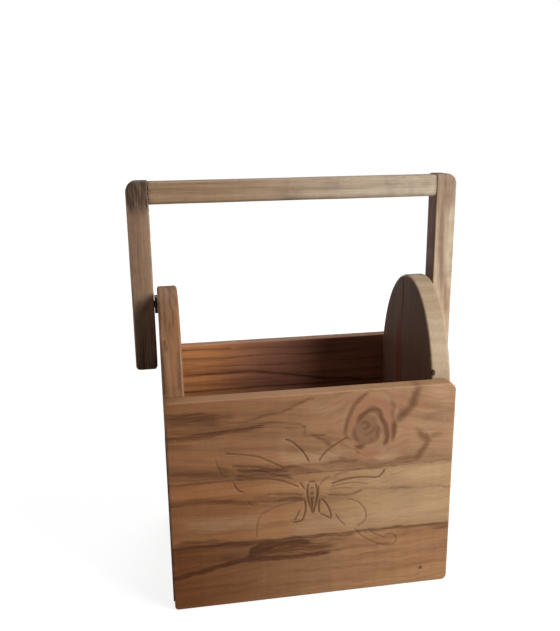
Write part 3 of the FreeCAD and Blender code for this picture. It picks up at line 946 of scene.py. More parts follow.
def steel(name, base, rust, roughness, rust_share):
    """Dull plated steel with a fine uneven film and specks of rust."""
    material, tree, shader = new_material(name)
    place = put(tree, "ShaderNodeTexCoord").outputs["Object"]
    film_waves = {"Vector": place, "Scale": FILM_WAVES, "Detail": 5.0}
    film = put(tree, "ShaderNodeTexNoise", film_waves).outputs["Fac"]
    rust_waves = {"Vector": place, "Scale": RUST_WAVES, "Detail": 6.0}
    blooms = put(tree, "ShaderNodeTexNoise", rust_waves).outputs["Fac"]
    rusty = calc(tree, "MULTIPLY", ramp(tree, blooms, *RUST_SPAN), rust_share)
    darker = colour(*(FILM_DARK * part for part in base[:3]))
    tone = mixed(tree, ramp(tree, film, *NOISE_SPAN), base, darker)
    relief = {"Height": film, "Strength": FILM_RELIEF, "Distance": FILM_DEPTH}
    surface = {
        "Base Color": mixed(tree, rusty, tone, rust),
        "Roughness": ramp(tree, film, *NOISE_SPAN, *roughness),
        "Metallic": ramp(tree, rusty, 0.0, 1.0, 1.0, RUST_METAL),
        "Normal": put(tree, "ShaderNodeBump", relief).outputs[0],
    }
    for key, socket in surface.items():
        tree.links.new(socket, shader.inputs[key])
    return material


# Finishes

# Dark lines of the grain, the carving, nail holes, and grime of hands that is also painted shade low on
# the left arm
LINE = colour(0.062, 0.0165, 0.004)
CUT = colour(0.082, 0.030, 0.011)
PIT = colour(0.022, 0.008, 0.003)
SOOT_AND_SHADE = colour(0.045, 0.023, 0.013)

# The front board: rings and blush round the knot, pale patches, the knot's eye, and the top edge
RED_RING = colour(0.105, 0.034, 0.011)
PINK = colour(0.295, 0.118, 0.058)
PALE_WOOD = colour(0.50, 0.31, 0.175)
EYE_WOOD = colour(0.180, 0.088, 0.042)
RIM_WOOD = colour(0.375, 0.198, 0.088)

# The back board's outer face, in the wood's tone as seen in light; painted shade on the inner faces of
# panels and arms; band and ruddy streaks of the panels; stripes of the right arm
OUTER_TONE = colour(0.30, 0.155, 0.073)
INSIDE_SHADE = colour(0.17, 0.068, 0.038)
RED_BAND = colour(0.26, 0.065, 0.035)
RUDDY = colour(0.33, 0.13, 0.050)
STRIPE_BROWN = colour(0.185, 0.10, 0.055)
STRIPE_PALE = colour(0.50, 0.41, 0.275)

# A nail hole in the right panel's front stave: its place and half sizes, in millimetres
NAIL_HOLE = (79.0, -48.0, 142.8)
NAIL_HOLE_REACH = (1.5, 1.5, 2.2)

# Marks are listed in the order in which they are laid on
front_marks = [
    ("pale", PALE_WOOD, 0.60, 0.3),
    ("rim", RIM_WOOD, 0.55, 0.3),
    ("blush", PINK, 0.66, 0.35),
    ("eye", EYE_WOOD, 0.80, 0.5),
    ("streak", LINE, 0.94, 0.5),
    ("ring", RED_RING, 0.90, 0.12),
    ("carve", CUT, 0.70, 0.10),
]
board_wear = {"Wear": 0.10, "Dirt": 0.16, "Patch": 34.0}

front_wood = {}
front_wood["top"] = wood(
    "front_top_wood",
    colour(0.27, 0.117, 0.046), colour(0.225, 0.093, 0.034), colour(0.12, 0.051, 0.023),
    figure={"Pith": (0, -60, -30), "Taper": 0.10, "Warp": 9.0, "Band": 6.0,
            "Contrast": 0.30, "Fibre": 0.42},
    far={"span": (-90, 85), "light": colour(0.36, 0.205, 0.104), "middle": colour(0.305, 0.165, 0.082)},
    wear=board_wear, marks=front_marks, own_grain=True,
)
front_wood["middle"] = wood(
    "front_middle_wood",
    colour(0.32, 0.136, 0.050), colour(0.255, 0.103, 0.036), colour(0.12, 0.052, 0.023),
    figure={"Pith": (0, 160, 60), "Taper": 0.03, "Warp": 6.0, "Band": 7.5,
            "Contrast": 0.20, "Fibre": 0.38},
    far={"span": (-70, 75), "light": colour(0.40, 0.248, 0.128), "middle": colour(0.355, 0.212, 0.105)},
    wear=board_wear, marks=front_marks, own_grain=True,
)
front_wood["bottom"] = wood(
    "front_bottom_wood",
    colour(0.182, 0.059, 0.0145), colour(0.149, 0.047, 0.012), colour(0.078, 0.027, 0.0095),
    figure={"Pith": (0, -200, -80), "Taper": -0.04, "Warp": 7.0, "Band": 8.0,
            "Contrast": 0.22, "Fibre": 0.42, "Ribbon": 0.28},
    far={"span": (-100, 40), "light": colour(0.355, 0.186, 0.085), "middle": colour(0.305, 0.151, 0.066)},
    wear=board_wear, marks=front_marks, own_grain=True,
)
# The back board: its far tone darkens the inside towards +X as painted shade, standing in for the right
# panel's shadow across it. Its base tones, a richer orange, are matched to the inside of the box as it
# looks in shade; the outside mark brings the outer face to the wood's tone in light.
back_wood = {
    place: wood(
        f"back_{place}_wood",
        colour(0.57, 0.24, 0.082), colour(0.46, 0.188, 0.064), colour(0.12, 0.046, 0.020),
        shift=(40 * index + 15, 0, 210 * index), wear=board_wear,
        marks=[("outside", OUTER_TONE, 0.62, 0.3), ("streak", LINE, 0.9, 0.5)],
        # far: painted shade of the right panel's shadow over the inside
        far={"span": (-70, -5), "light": colour(0.355, 0.148, 0.084), "middle": colour(0.295, 0.12, 0.069)},
        figure={"Pith": (0, 30 * index - 60, 220 * index + 30), "Taper": 0.02, "Warp": 5.0, "Band": 5.0,
                "Contrast": 0.45, "Fibre": 0.5},
    )
    for index, place in enumerate(("bottom", "middle", "top"))
}
panel_tones = {
    "left": (colour(0.31, 0.158, 0.076), colour(0.238, 0.115, 0.051), colour(0.10, 0.045, 0.021)),
    "right": (colour(0.385, 0.283, 0.180), colour(0.338, 0.243, 0.150), colour(0.21, 0.13, 0.078)),
}
# The inside mark darkens the panels' inner faces as painted shade
panel_marks = [
    ("inside", INSIDE_SHADE, 0.72, 0.2),
    ("red_band", RED_BAND, 0.85, 0.2),
    ("ruddy", RUDDY, 0.6, 0.4),
    ("streak", LINE, 0.75, 0.4),
]
panel_wood = {
    f"{hand}_{place}": wood(
        f"{hand}_panel_{place}_wood", *panel_tones[hand], grain="z",
        shift=(90 * index, 35 * index + (20 if hand == "right" else 0), 15 * index),
        figure={"Pith": (0, 40, -90), "Taper": 0.03, "Warp": 8.0, "Band": 6.5, "Fibre": 0.5,
                "Contrast": 0.5 if hand == "left" else 0.35},
        wear={"Wear": 0.2, "Dirt": 0.25, "Patch": 26.0}, marks=panel_marks,
        spot=NAIL_HOLE if (hand, place) == ("right", "front") else None,
    )
    for hand in ("left", "right")
    for index, place in enumerate(("front", "rear"))
}
floor_wood = {
    place: wood(
        f"bottom_{place}_wood",
        colour(0.30, 0.155, 0.075), colour(0.24, 0.115, 0.052), colour(0.11, 0.05, 0.027),
        shift=(70 * index, 50 * index, 0), wear={"Wear": 0.2, "Dirt": 0.45, "Patch": 24.0},
        figure={"Pith": (0, 10, -70), "Taper": 0.05, "Warp": 8.0, "Band": 6.0,
                "Contrast": 0.5, "Fibre": 0.5},
    )
    for index, place in enumerate(("front", "rear"))
}
arm_wood = {
    "left": wood(
        "left_arm_wood",
        colour(0.325, 0.203, 0.124), colour(0.257, 0.153, 0.091), colour(0.10, 0.056, 0.034),
        grain="z",
        figure={"Pith": (0, -60, 20), "Taper": 0.01, "Warp": 4.0, "Band": 3.6,
                "Contrast": 0.4, "Fibre": 0.55},
        wear={"Wear": 0.3, "Dirt": 0.35, "Patch": 12.0},
        # Left arm: the inside mark darkens its inner face as painted shade; the second mark holds the
        # shoulder's staining and, up from the foot, painted shade
        marks=[("inside", INSIDE_SHADE, 0.4, 0.2), ("stain_and_shade", SOOT_AND_SHADE, 1.0, 0.7)],
    ),
    "right": wood(
        "right_arm_wood",
        colour(0.42, 0.305, 0.200), colour(0.36, 0.256, 0.165), colour(0.17, 0.104, 0.068),
        grain="z", shift=(130, 0, 0),
        figure={"Pith": (0, 60, -20), "Taper": 0.015, "Warp": 4.0, "Band": 3.2,
                "Contrast": 0.4, "Fibre": 0.5},
        wear={"Wear": 0.25, "Dirt": 0.3, "Patch": 12.0},
        # Right arm: the inside mark darkens its inner face as painted shade
        marks=[("inside", INSIDE_SHADE, 0.95, 0.2), ("brown", STRIPE_BROWN, 0.85, 0.5),
               ("pale", STRIPE_PALE, 0.75, 0.5), ("stain_and_shade", SOOT_AND_SHADE, 0.5, 0.9)],
    ),
}
bar_wood = wood(
    "bar_wood",
    colour(0.36, 0.235, 0.135), colour(0.29, 0.18, 0.098), colour(0.15, 0.09, 0.055),
    figure={"Pith": (0, -30, -40), "Taper": 0.01, "Warp": 3.0, "Band": 3.4,
            "Contrast": 0.4, "Fibre": 0.5},
    far={"span": (-70, 60), "light": colour(0.42, 0.33, 0.235), "middle": colour(0.36, 0.275, 0.19)},
    wear={"Wear": 0.3, "Dirt": 0.3, "Patch": 16.0}, marks=[("stain_and_shade", SOOT_AND_SHADE, 0.7, 0.8)],
)
dowel_wood = wood("dowel_wood", colour(0.46, 0.31, 0.18), colour(0.38, 0.25, 0.14), colour(0.2, 0.12, 0.07))
zinc_steel = steel(
    "zinc_steel", colour(0.24, 0.235, 0.225), colour(0.13, 0.05, 0.022),
    roughness=(0.58, 0.74), rust_share=0.55,
)
# The washers' steel is very dark: blackened steel, and painted shade of the narrow gap between arm and
# panel
shaded_washer_steel = steel(
    "shaded_washer_steel", colour(0.11, 0.092, 0.078), colour(0.09, 0.04, 0.02),
    roughness=(0.45, 0.6), rust_share=0.6,
)
brad_steel = steel(
    "brad_steel", colour(0.30, 0.29, 0.28), colour(0.14, 0.055, 0.025),
    roughness=(0.4, 0.6), rust_share=0.6,
)


# Boards

# Brads: their heights as shares of the board's, how far the bottom's end ones stand from a panel, and the
# filled holes over them: their radius, the slope at their edge and how deep they have sunk
BRAD_HEIGHTS = (0.18, 0.49, 0.83)
BRAD_FROM_PANEL = 4.5
BRAD_HOLE, BRAD_SLOPE, BRAD_DIMPLE = 1.35, 0.45, 0.09

# Grids: pitch of a plain stave, of a carved one, near brads (within BRAD_ZONE) and in the carving, and how
# many steps of a carved face meet one of the plain face behind it
BOARD_PITCH, CARVED_PITCH, BRAD_PITCH, FINE_PITCH = 0.7, 0.5, 0.4, 0.30
BRAD_ZONE = 1.8
FINE_STEPS = 4

# Seams: depth of the broken edge, half width of the dark line in it and how sharply that falls off
SEAM_DEPTH = 0.8 * SEAM_EASE
SEAM_LINE = 0.55
SEAM_FALL = 1.5

# Marks of the boards: how far arrises are worn, how strong the seams are, how strokes wander and over what
# length (rings round the knot, lines of the back board), the top edge's depth and fade, how thick a skin
# takes the carving's dark, the dark of the shallowest cut, and how soon the back's outside differs
BOARD_WEAR_REACH = 1.6
BOARD_SEAM = 0.45
RING_WANDER = (0.8, 0.6)
BACK_WANDER, BACK_REACH = (0.0, 0.7), 40.0
RIM_DEPTH, RIM_FADE = 0.8, 0.5
FACE_SKIN = 1.0
LEAST_CARVE = 0.25
OUTSIDE_FADE = 1.5


def brad_places(wall):
    """Where brads were driven into a board: three up each end, three along the bottom's edge."""
    board_high = box_mm(f"{wall}_top_stave")[1]
    floor_low, floor_high = box_mm("bottom_front_stave")
    middle = (floor_low[Z] + floor_high[Z]) / 2
    panel_low, panel_high = box_mm("right_panel_front_stave")
    edge_x = (panel_low[X] + panel_high[X]) / 2
    bottom_x = panel_low[X] - BRAD_FROM_PANEL
    places = [(side * edge_x, share * board_high[Z]) for side in (-1, 1) for share in BRAD_HEIGHTS]
    return places + [(side * bottom_x, middle) for side in (-1, 0, 1)]


def dimples(a, b, places):
    """1 over each filled brad hole, easing to 0 at its edge."""
    found = np.zeros(a.shape)
    for at_a, at_b in places:
        away = np.hypot(a - at_a, b - at_b)
        found = np.maximum(found, np.clip((BRAD_HOLE - away) / BRAD_SLOPE, 0, 1))
    return found


def seam_groove(offset):
    """Depth of a broken seam at an offset from its middle: a shallow V."""
    return SEAM_DEPTH * fading(offset, SEAM_EASE)


def butterfly_cuts(a, b, width):
    """For each stroke of the butterfly: how far it is cut at each place, 0 to 1, and its share of depth."""
    for stops, share in BUTTERFLY:
        yield cut_profile(nearness(a, b, from_plan(stops), width, CARVE_FADE)), share


def stave_radii(place, corners):
    """A stave's four corner radii: the board's own at its outer corners, square at the seams."""
    rows = {"bottom": ("bottom_left", "bottom_right"), "top": ("top_left", "top_right"), "middle": ()}
    return {name: corners[name] if name in rows[place] else 0.0 for name in corners}


def face_shares(span, brads, ends, carved):
    """Grid shares along one axis of a stave's outer face: closer at brads, closest over the carved span."""
    zones = [(at - BRAD_ZONE, at + BRAD_ZONE, BRAD_PITCH) for at in sorted(set(brads))]
    if not carved:
        return shares(stations(*span, BOARD_PITCH, zones, ends))
    zones = [zone for zone in zones if not carved[0] < zone[0] < carved[1]]
    zones.append((max(carved[0], span[0]), min(carved[1], span[1]), FINE_PITCH))
    return shares(stations(*span, CARVED_PITCH, zones, ends, FINE_STEPS))


def board_marks(points, wall, levels, outline, corners, seams):
    """Marks of a stave: worn arrises, seams, and the streaks, knot and carving that its face carries."""
    outer, inner = levels
    x, z = points[:, X], points[:, Z]
    seam = np.max([fading(z - level, SEAM_LINE) for level in seams], axis=0)
    marks = {
        "arris": arris_share(points, plate_distance(x, z, outline, corners), Y, levels, BOARD_WEAR_REACH),
        "seam": BOARD_SEAM * seam ** SEAM_FALL,
    }
    if wall == "back":
        marks["streak"] = painted(x, z, on_plan(BACK_STREAKS), BACK_WANDER, BACK_REACH)
        marks["outside"] = np.clip(np.abs(points[:, Y] - inner) / OUTSIDE_FADE, 0, 1)
        return marks
    marks["grain"] = flowing_grain(points)
    marks["eye"] = eye_share(points)
    marks["streak"] = painted(x, z, on_plan(STREAKS))
    marks["ring"] = painted(x, z, on_plan(KNOT_DARK), RING_WANDER)
    marks["blush"] = painted(x, z, on_plan(KNOT_BLUSH))
    marks["pale"] = painted(x, z, on_plan(PALE))
    marks["rim"] = np.clip((z - outline[1][1] + RIM_DEPTH) / RIM_FADE, 0, 1)
    carve = np.zeros(len(points))
    for cut, share in butterfly_cuts(x, z, CARVE_MARK * CARVE_WIDTH):
        carve = np.maximum(carve, cut * (LEAST_CARVE + (1 - LEAST_CARVE) * share))
    marks["carve"] = carve * (np.abs(points[:, Y] - outer) < FACE_SKIN)
    return marks


def board_stave(wall, place, corners, material, carved, step_back, seed):
    """One stave of a board: its outer face eased to the board's outline, its seams just broken."""
    node = f"{wall}_{place}_stave"
    low, high = box_mm(node)
    board_low, board_high = box_mm(f"{wall}_bottom_stave")[0], box_mm(f"{wall}_top_stave")[1]
    outline = ((board_low[X], board_high[X]), (board_low[Z], board_high[Z]))
    spans = ((low[X], high[X]), (low[Z], high[Z]))
    radii = stave_radii(place, corners)
    seams = [level for level, inner in ((low[Z], place != "bottom"), (high[Z], place != "top")) if inner]
    brads = brad_places(wall)
    brads_x, brads_z = zip(*brads)
    outer, inner = (low[Y], high[Y]) if wall == "front" else (high[Y], low[Y])
    inward = 1 if wall == "front" else -1
    ends_z = tuple(SEAM_EASE if level in seams else BOARD_ARRIS for level in (low[Z], high[Z]))
    carved_x, carved_z = carved or (None, None)
    u = face_shares(spans[0], brads_x, (BOARD_ARRIS, BOARD_ARRIS), carved_x)
    v = face_shares(spans[1], brads_z, ends_z, carved_z)
    plan = plate_plan(spans, radii, u, v)
    a, b = plan[..., 0], plan[..., 1]
    depth = round_drop(plate_distance(a, b, outline, corners), BOARD_ARRIS) + step_back
    depth += sum(seam_groove(b - seam) for seam in seams) + BRAD_DIMPLE * dimples(a, b, brads)
    if carved:
        depth += CARVE_DEPTH * sum(share * cut for cut, share in butterfly_cuts(a, b, CARVE_WIDTH))
        depth += knot_groove(a, b)
        u, v = (np.linspace(0, 1, (len(steps) - 1) // FINE_STEPS + 1) for steps in (u, v))
    near = np.stack([a, outer + inward * depth, b], -1)
    far_plan = plate_plan(spans, radii, u, v)
    rim = round_drop(outline[1][1] - far_plan[..., 1], BOARD_RIM)
    rim += sum(seam_groove(far_plan[..., 1] - seam) for seam in seams)
    far = np.stack([far_plan[..., 0], inner - inward * rim, far_plan[..., 1]], -1)
    points, faces = worked_slab(near, far, wall_steps=6, waviness=0.07, seed=seed)
    marks = board_marks(points, wall, (outer, inner), outline, corners, seams)
    name = node.replace("stave", "board")
    solid_piece(name, points, faces, marks, material, "box", [node])


# For each stave, what is carved on the front one, across and up, and how far front and back ones stand in
STAVES = {
    "bottom": (((-40, 56), (29, 46)), 0.0, 0.05),
    "middle": (((-64, 56), (40, 90)), 0.06, 0.0),
    "top": (((-64, 56), (80, 113)), 0.02, 0.08),
}
for index, (place, (carved, front_in, back_in)) in enumerate(STAVES.items()):
    board_stave("front", place, FRONT_CORNERS, front_wood[place], carved, front_in, 11 + index)
    board_stave("back", place, BACK_CORNERS, back_wood[place], None, back_in, 21 + index)


# End panels

# How far round the arch a panel's grid turns its corner; points along the edges; the grid's pitch across,
# up, and up past the springing, and its first step; how far below the springing the arris begins to ease
# in, and over what height
PANEL_CORNER = math.radians(42)
UPRIGHT_POINTS, ARC_POINTS, TOP_POINTS = 120, 200, 400
PANEL_PITCH_ACROSS, PANEL_PITCH_UP, ARCH_PITCH = 1.1, 1.6, 0.9
PANEL_FOOT = 0.3
EASE_BELOW, EASE_LENGTH = 6, 10

# The red band inside the right panel: its middle, half width, strength there and wander; then the height
# where it ends, over what height it fades, and what is left of it above
BAND_MIDDLE, BAND_WIDTH, BAND_STRENGTH, BAND_WANDER = 12.0, 6.5, 1.3, (2.5, 60.0)
BAND_TOP, BAND_FADE, BAND_LEFT = 190, 40, 0.15

# How thick a skin counts as the inside of a panel or an arm, which is darkened as painted shade; how far a
# panel's arrises are worn, how strong its seam is, and how its streaks wander over what length
INSIDE_SKIN = 0.8
PANEL_WEAR_REACH = 1.8
PANEL_SEAM = 0.7
STREAK_WANDER, RUDDY_WANDER, PANEL_REACH = (0.5, 0.5), (0.8, 0.8), 14.0


def arch_height(y, half, spring, rise):
    """Height of the half ellipse over a place across the panel."""
    return spring + rise * np.sqrt(np.maximum(1 - (y / half) ** 2, 0))


def arch_distance(y, z, half, spring, rise):
    """Distance inwards from the panel's edge: straight up to the springing, then the ellipse's own."""
    upright = half - np.abs(y)
    lift = np.maximum(z - spring, 0)
    level = np.maximum(np.sqrt((y / half) ** 2 + (lift / rise) ** 2), TINY)
    slope = np.sqrt((y / half ** 2) ** 2 + (lift / rise ** 2) ** 2)
    curved = (1 - level) * level / np.maximum(slope, TINY)
    return np.maximum(np.where(z > spring, np.minimum(curved, half), upright), 0)


def along_path(path, share):
    """Points at given shares of a path's length."""
    length = np.concatenate([[0], np.cumsum(np.linalg.norm(np.diff(path, axis=0), axis=1))])
    return np.stack([np.interp(share * length[-1], length, path[:, i]) for i in (0, 1)], 1)


# Dark and reddish streaks up the left panel's front edge: stops across and up in millimetres, width and
# strength
PANEL_STREAKS = [
    ([(-82.3, 198), (-82.5, 188), (-82.0, 177)], 0.9, 1.00),
    ([(-86.4, 197), (-86.8, 184), (-87.2, 172), (-87.5, 156)], 0.9, 0.75),
    ([(-88.0, 173), (-87.6, 168), (-87.2, 163)], 1.4, 1.10),
    ([(-84.4, 182), (-84.8, 162), (-84.2, 138)], 0.9, 0.65),
    ([(-89.6, 192), (-89.8, 170), (-89.4, 140)], 1.0, 0.70),
    ([(-79.6, 174), (-79.2, 158), (-79.6, 138)], 1.0, 0.65),
    ([(-81.0, 166), (-80.6, 154), (-81.0, 142)], 1.0, 0.60),
]
PANEL_RUDDY = [
    ([(-80.4, 186), (-80.0, 173), (-80.6, 160)], 2.4, 1.10),
    ([(-84.0, 175), (-83.0, 160), (-83.6, 145)], 2.6, 0.90),
    ([(-86.0, 157), (-85.6, 146), (-86.0, 136)], 2.2, 0.80),
]


def panel_plan(place, low, high, half, seam, spring):
    """A grid that fills half of an arched panel: foot, seam, top of the arch, and the edge below that."""
    side = -1 if place == "front" else 1
    seam_top = arch_height(seam, half, spring, ARCH_RISE)
    seam_turn = math.acos(abs(seam) / half)
    end_turn = math.pi - seam_turn if place == "front" else seam_turn
    arch_zone = [(spring, seam_top, ARCH_PITCH)]
    v = shares(stations(0, seam_top, PANEL_PITCH_UP, arch_zone, (PANEL_FOOT, PANEL_ARRIS)))
    ends = (PANEL_ARRIS, SEAM_EASE) if side < 0 else (SEAM_EASE, PANEL_ARRIS)
    widths = stations(low[Y], high[Y], PANEL_PITCH_ACROSS, (), ends)
    u = shares(widths)

    def arc(start, end, count):
        """Points of the arch between two turns from this stave's springing."""
        turn = np.linspace(start, end, count)
        return np.stack([side * half * np.cos(turn), spring + ARCH_RISE * np.sin(turn)], 1)

    upright = np.linspace((side * half, 0), (side * half, spring), UPRIGHT_POINTS)[:-1]
    outer_edge = along_path(np.concatenate([upright, arc(0, PANEL_CORNER, ARC_POINTS)]), v)
    top = arc(PANEL_CORNER, end_turn, TOP_POINTS)
    top = along_path(top if side < 0 else top[::-1], u)
    seam_edge = np.stack([np.full(len(v), seam), v * seam_top], 1)
    bottom = np.stack([widths, np.zeros(len(u))], 1)
    left, right = (outer_edge, seam_edge) if side < 0 else (seam_edge, outer_edge)
    return patch(bottom, right, top, left, u, v)


def panel_stave(hand, place, material, seed):
    """One upright stave of an end panel: its arris eased over the arch, square against the boards."""
    node = f"{hand}_panel_{place}_stave"
    low, high = box_mm(node)
    half = box_mm(f"{hand}_panel_rear_stave")[1][Y]
    seam, crown = box_mm(f"{hand}_panel_front_stave")[1][[Y, Z]]
    inner = high[X] if hand == "left" else low[X]
    spring = crown - ARCH_RISE
    plan = panel_plan(place, low, high, half, seam, spring)
    y, z = plan[..., 0], plan[..., 1]
    away = arch_distance(y, z, half, spring, ARCH_RISE)
    eased = np.clip((z - spring + EASE_BELOW) / EASE_LENGTH, 0, 1)
    depth = round_drop(away, PANEL_ARRIS) * eased + seam_groove(y - seam)
    near = np.stack([low[X] + depth, y, z], -1)
    far = np.stack([high[X] - depth, y, z], -1)
    points, faces = worked_slab(near, far, wall_steps=8, waviness=0.08, seed=seed)
    x, y, z = points.T
    away = arch_distance(y, z, half, spring, ARCH_RISE)
    # The inner face's skin, which the inside mark darkens as painted shade
    inside = fading(x - inner, INSIDE_SKIN)
    from_band = np.abs(y - BAND_MIDDLE + drift(points, *BAND_WANDER, seed))
    band = np.clip(BAND_STRENGTH - from_band / BAND_WIDTH, 0, 1)
    low_down = np.clip((BAND_TOP - z) / BAND_FADE, BAND_LEFT, 1)
    facing = (y < 0) & (hand == "left")
    marks = {
        "arris": arris_share(points, away, X, (low[X], high[X]), PANEL_WEAR_REACH),
        "seam": PANEL_SEAM * fading(y - seam, SEAM_LINE) ** SEAM_FALL,
        "inside": inside,
        "red_band": band * low_down * inside * (hand == "right"),
        "streak": painted(x, z, PANEL_STREAKS, STREAK_WANDER, PANEL_REACH) * facing,
        "ruddy": painted(x, z, PANEL_RUDDY, RUDDY_WANDER, PANEL_REACH) * facing,
    }
    name = node.replace("stave", "board")
    solid_piece(name, points, faces, marks, material, "box", [node])


for hand, seed in (("left", 31), ("right", 41)):
    for index, place in enumerate(("front", "rear")):
        panel_stave(hand, place, panel_wood[f"{hand}_{place}"], seed + index)


# Bottom

# The bottom's grid, and how far it darkens next to the walls and how much
BOTTOM_PITCH = 2.5
WALL_DARK_REACH = 5.0
WALL_DARKENING = 0.6


def bottom_stave(place, material, seed):
    """One stave of the bottom, square edged, let in between the four walls."""
    node = f"bottom_{place}_stave"
    low, high = box_mm(node)
    wall_y = box_mm("bottom_rear_stave")[1][Y]
    spans = ((low[X], high[X]), (low[Y], high[Y]))
    u, v = (shares(stations(*span, BOTTOM_PITCH, (), (SEAM_EASE, SEAM_EASE))) for span in spans)
    plan = plate_plan(spans, SQUARE_CORNERS, u, v)
    x, y = plan[..., 0], plan[..., 1]
    near = np.stack([x, y, high[Z] - seam_groove(y)], -1)
    far = np.stack([x, y, low[Z] + seam_groove(y)], -1)
    points, faces = worked_slab(near, far, wall_steps=4, waviness=0.05, seed=seed)
    x, y, _ = points.T
    from_wall = plate_distance(x, y, (spans[0], (-wall_y, wall_y)), SQUARE_CORNERS)
    marks = {
        "arris": np.zeros(len(points)),
        "seam": np.maximum(WALL_DARKENING * fading(from_wall, WALL_DARK_REACH) ** 2, fading(y, SEAM_LINE)),
    }
    name = node.replace("stave", "board")
    solid_piece(name, points, faces, marks, material, "box", [node])


for index, place in enumerate(("front", "rear")):
    bottom_stave(place, floor_wood[place], 51 + index)


# Bail handle

# The countersunk hole: radius of its mouth, the step above the cone, radius of the bore, and how far from
# the pivot the grid is bent into rings
SINK_MOUTH = 4.8
SINK_STEP = 0.4
SINK_BORE = 2.6
PIVOT_REACH = 6.0

# Grids: pitch across and up an arm, near its pivot, shoulder and foot (as far up as FOOT_ZONE), and along
# and up the bar
ARM_PITCH_ACROSS, ARM_PITCH_UP = 0.5, 1.3
PIVOT_PITCH, SHOULDER_PITCH, FOOT_PITCH = 0.3, 0.5, 0.4
FOOT_ZONE = 4
BAR_PITCH_ALONG, BAR_PITCH_UP = 1.4, 0.6

# How far wear reaches from the arrises of an arm and of the bar
ARM_WEAR_REACH, BAR_WEAR_REACH = 2.0, 2.4

# How far down an arm the butt joint reaches, and its grime's reach and strength on an arm and on the bar
JOINT_FOOT = 14.6
JOINT_GRIME, JOINT_DIRT = 0.7, 0.6
BAR_END_GRIME, BAR_END_DIRT = 0.6, 0.45

# How far stains and painted shade reach and how strong they are: stains along the bar's ends, painted shade
# up the left foot (deepening the shadow over the arm's lower part), stains down the right arm. The left
# shoulder is stained for SHOULDER_STAIN down, then fades over as much again; its staining is a plain part
# and a blotched one
BAR_END_STAIN, FOOT_SHADE_REACH, RIGHT_STAIN = 4.0, 46, 18
BAR_END_TINT, FOOT_SHADE, RIGHT_TINT = 0.35, 0.6, 0.7
SHOULDER_STAIN = 11
SHOULDER_PLAIN, SHOULDER_BLOTCHED = 0.35, 1.15

# Blotches in the stains: their length, and what each axis counts for in it, less upwards to draw them out
BLOTCH_LENGTH = 2.6
BLOTCH_WEIGHTS = (1.0, 1.0, 0.35)

# The right arm's stripes: how far they wander over what length, and how their edges do; and its brown top:
# where it starts, over what height it grows and how strong it gets
ARM_WANDER = (0.8, 30.0)
STRIPE_WANDER = (0.4, 0.4)
BROWN_FOOT, BROWN_FADE, BROWN_TOP = 228, 18, 0.75


def ringed(plan, centre, reach, hold=0.85):
    """The plan, its grid bent near a hole: squares round the centre become circles, easing off at reach."""
    offset = plan - centre
    square = np.abs(offset).max(axis=-1)
    radius = np.maximum(np.linalg.norm(offset, axis=-1), TINY)
    ease = np.clip((square / reach - hold) / (1 - hold), 0, 1)
    factor = (square / radius) * (1 - ease) + ease
    return centre + offset * np.where(square < reach, factor, 1.0)[..., None]


# Brown and pale stripes up the right arm: stops across and up in millimetres, width, strength
ARM_BROWN = [
    ([(96.0, 268), (96.6, 240), (97.6, 224), (98.8, 206), (101.6, 186), (103.2, 166)], 3.4, 0.80),
    ([(95.0, 262), (95.6, 236), (97.0, 216)], 1.4, 0.90),
    ([(105.6, 262), (105.8, 236), (105.6, 222)], 1.2, 0.60),
]
ARM_PALE = [
    ([(104.2, 246), (103.6, 228), (104.0, 208), (105.2, 186)], 2.6, 0.95),
    ([(94.0, 216), (95.0, 198), (97.6, 178)], 2.2, 0.55),
]


def arm_marks(points, hand, low, high, corners, inner, seed):
    """Marks of an arm: worn arrises, the joint's grime, painted shade on its inner face and up the left
    arm's foot, stains, the right arm's stripes.
    """
    x, y, z = points.T
    spans = ((low[Y], high[Y]), (low[Z], high[Z]))
    from_top = high[Z] - z
    beside_bar = from_top < JOINT_FOOT
    marks = {
        "arris": arris_share(
            points, plate_distance(y, z, spans, corners), X, (low[X], high[X]), ARM_WEAR_REACH),
        "seam": JOINT_DIRT * fading(x - inner, JOINT_GRIME) * beside_bar,
        # The inner face, darkened as painted shade
        "inside": fading(x - inner, INSIDE_SKIN),
    }
    blotch = ripple(points * BLOTCH_WEIGHTS, BLOTCH_LENGTH, seed + 3)
    if hand == "left":
        at_shoulder = fading(np.maximum(from_top - SHOULDER_STAIN, 0), SHOULDER_STAIN)
        # Painted shade up from the left arm's foot, deepening the shadow over its lower part
        foot_shade = FOOT_SHADE * fading(z - low[Z], FOOT_SHADE_REACH)
        marks["stain_and_shade"] = at_shoulder * (SHOULDER_PLAIN + SHOULDER_BLOTCHED * blotch) + foot_shade
        return marks
    across = x + drift(points, *ARM_WANDER, seed)
    brown_top = BROWN_TOP * np.clip((z - BROWN_FOOT) / BROWN_FADE, 0, 1)
    marks["stain_and_shade"] = RIGHT_TINT * fading(from_top, RIGHT_STAIN) * blotch
    marks["brown"] = np.maximum(painted(across, z, ARM_BROWN, STRIPE_WANDER), brown_top)
    marks["pale"] = painted(across, z, ARM_PALE, STRIPE_WANDER)
    return marks


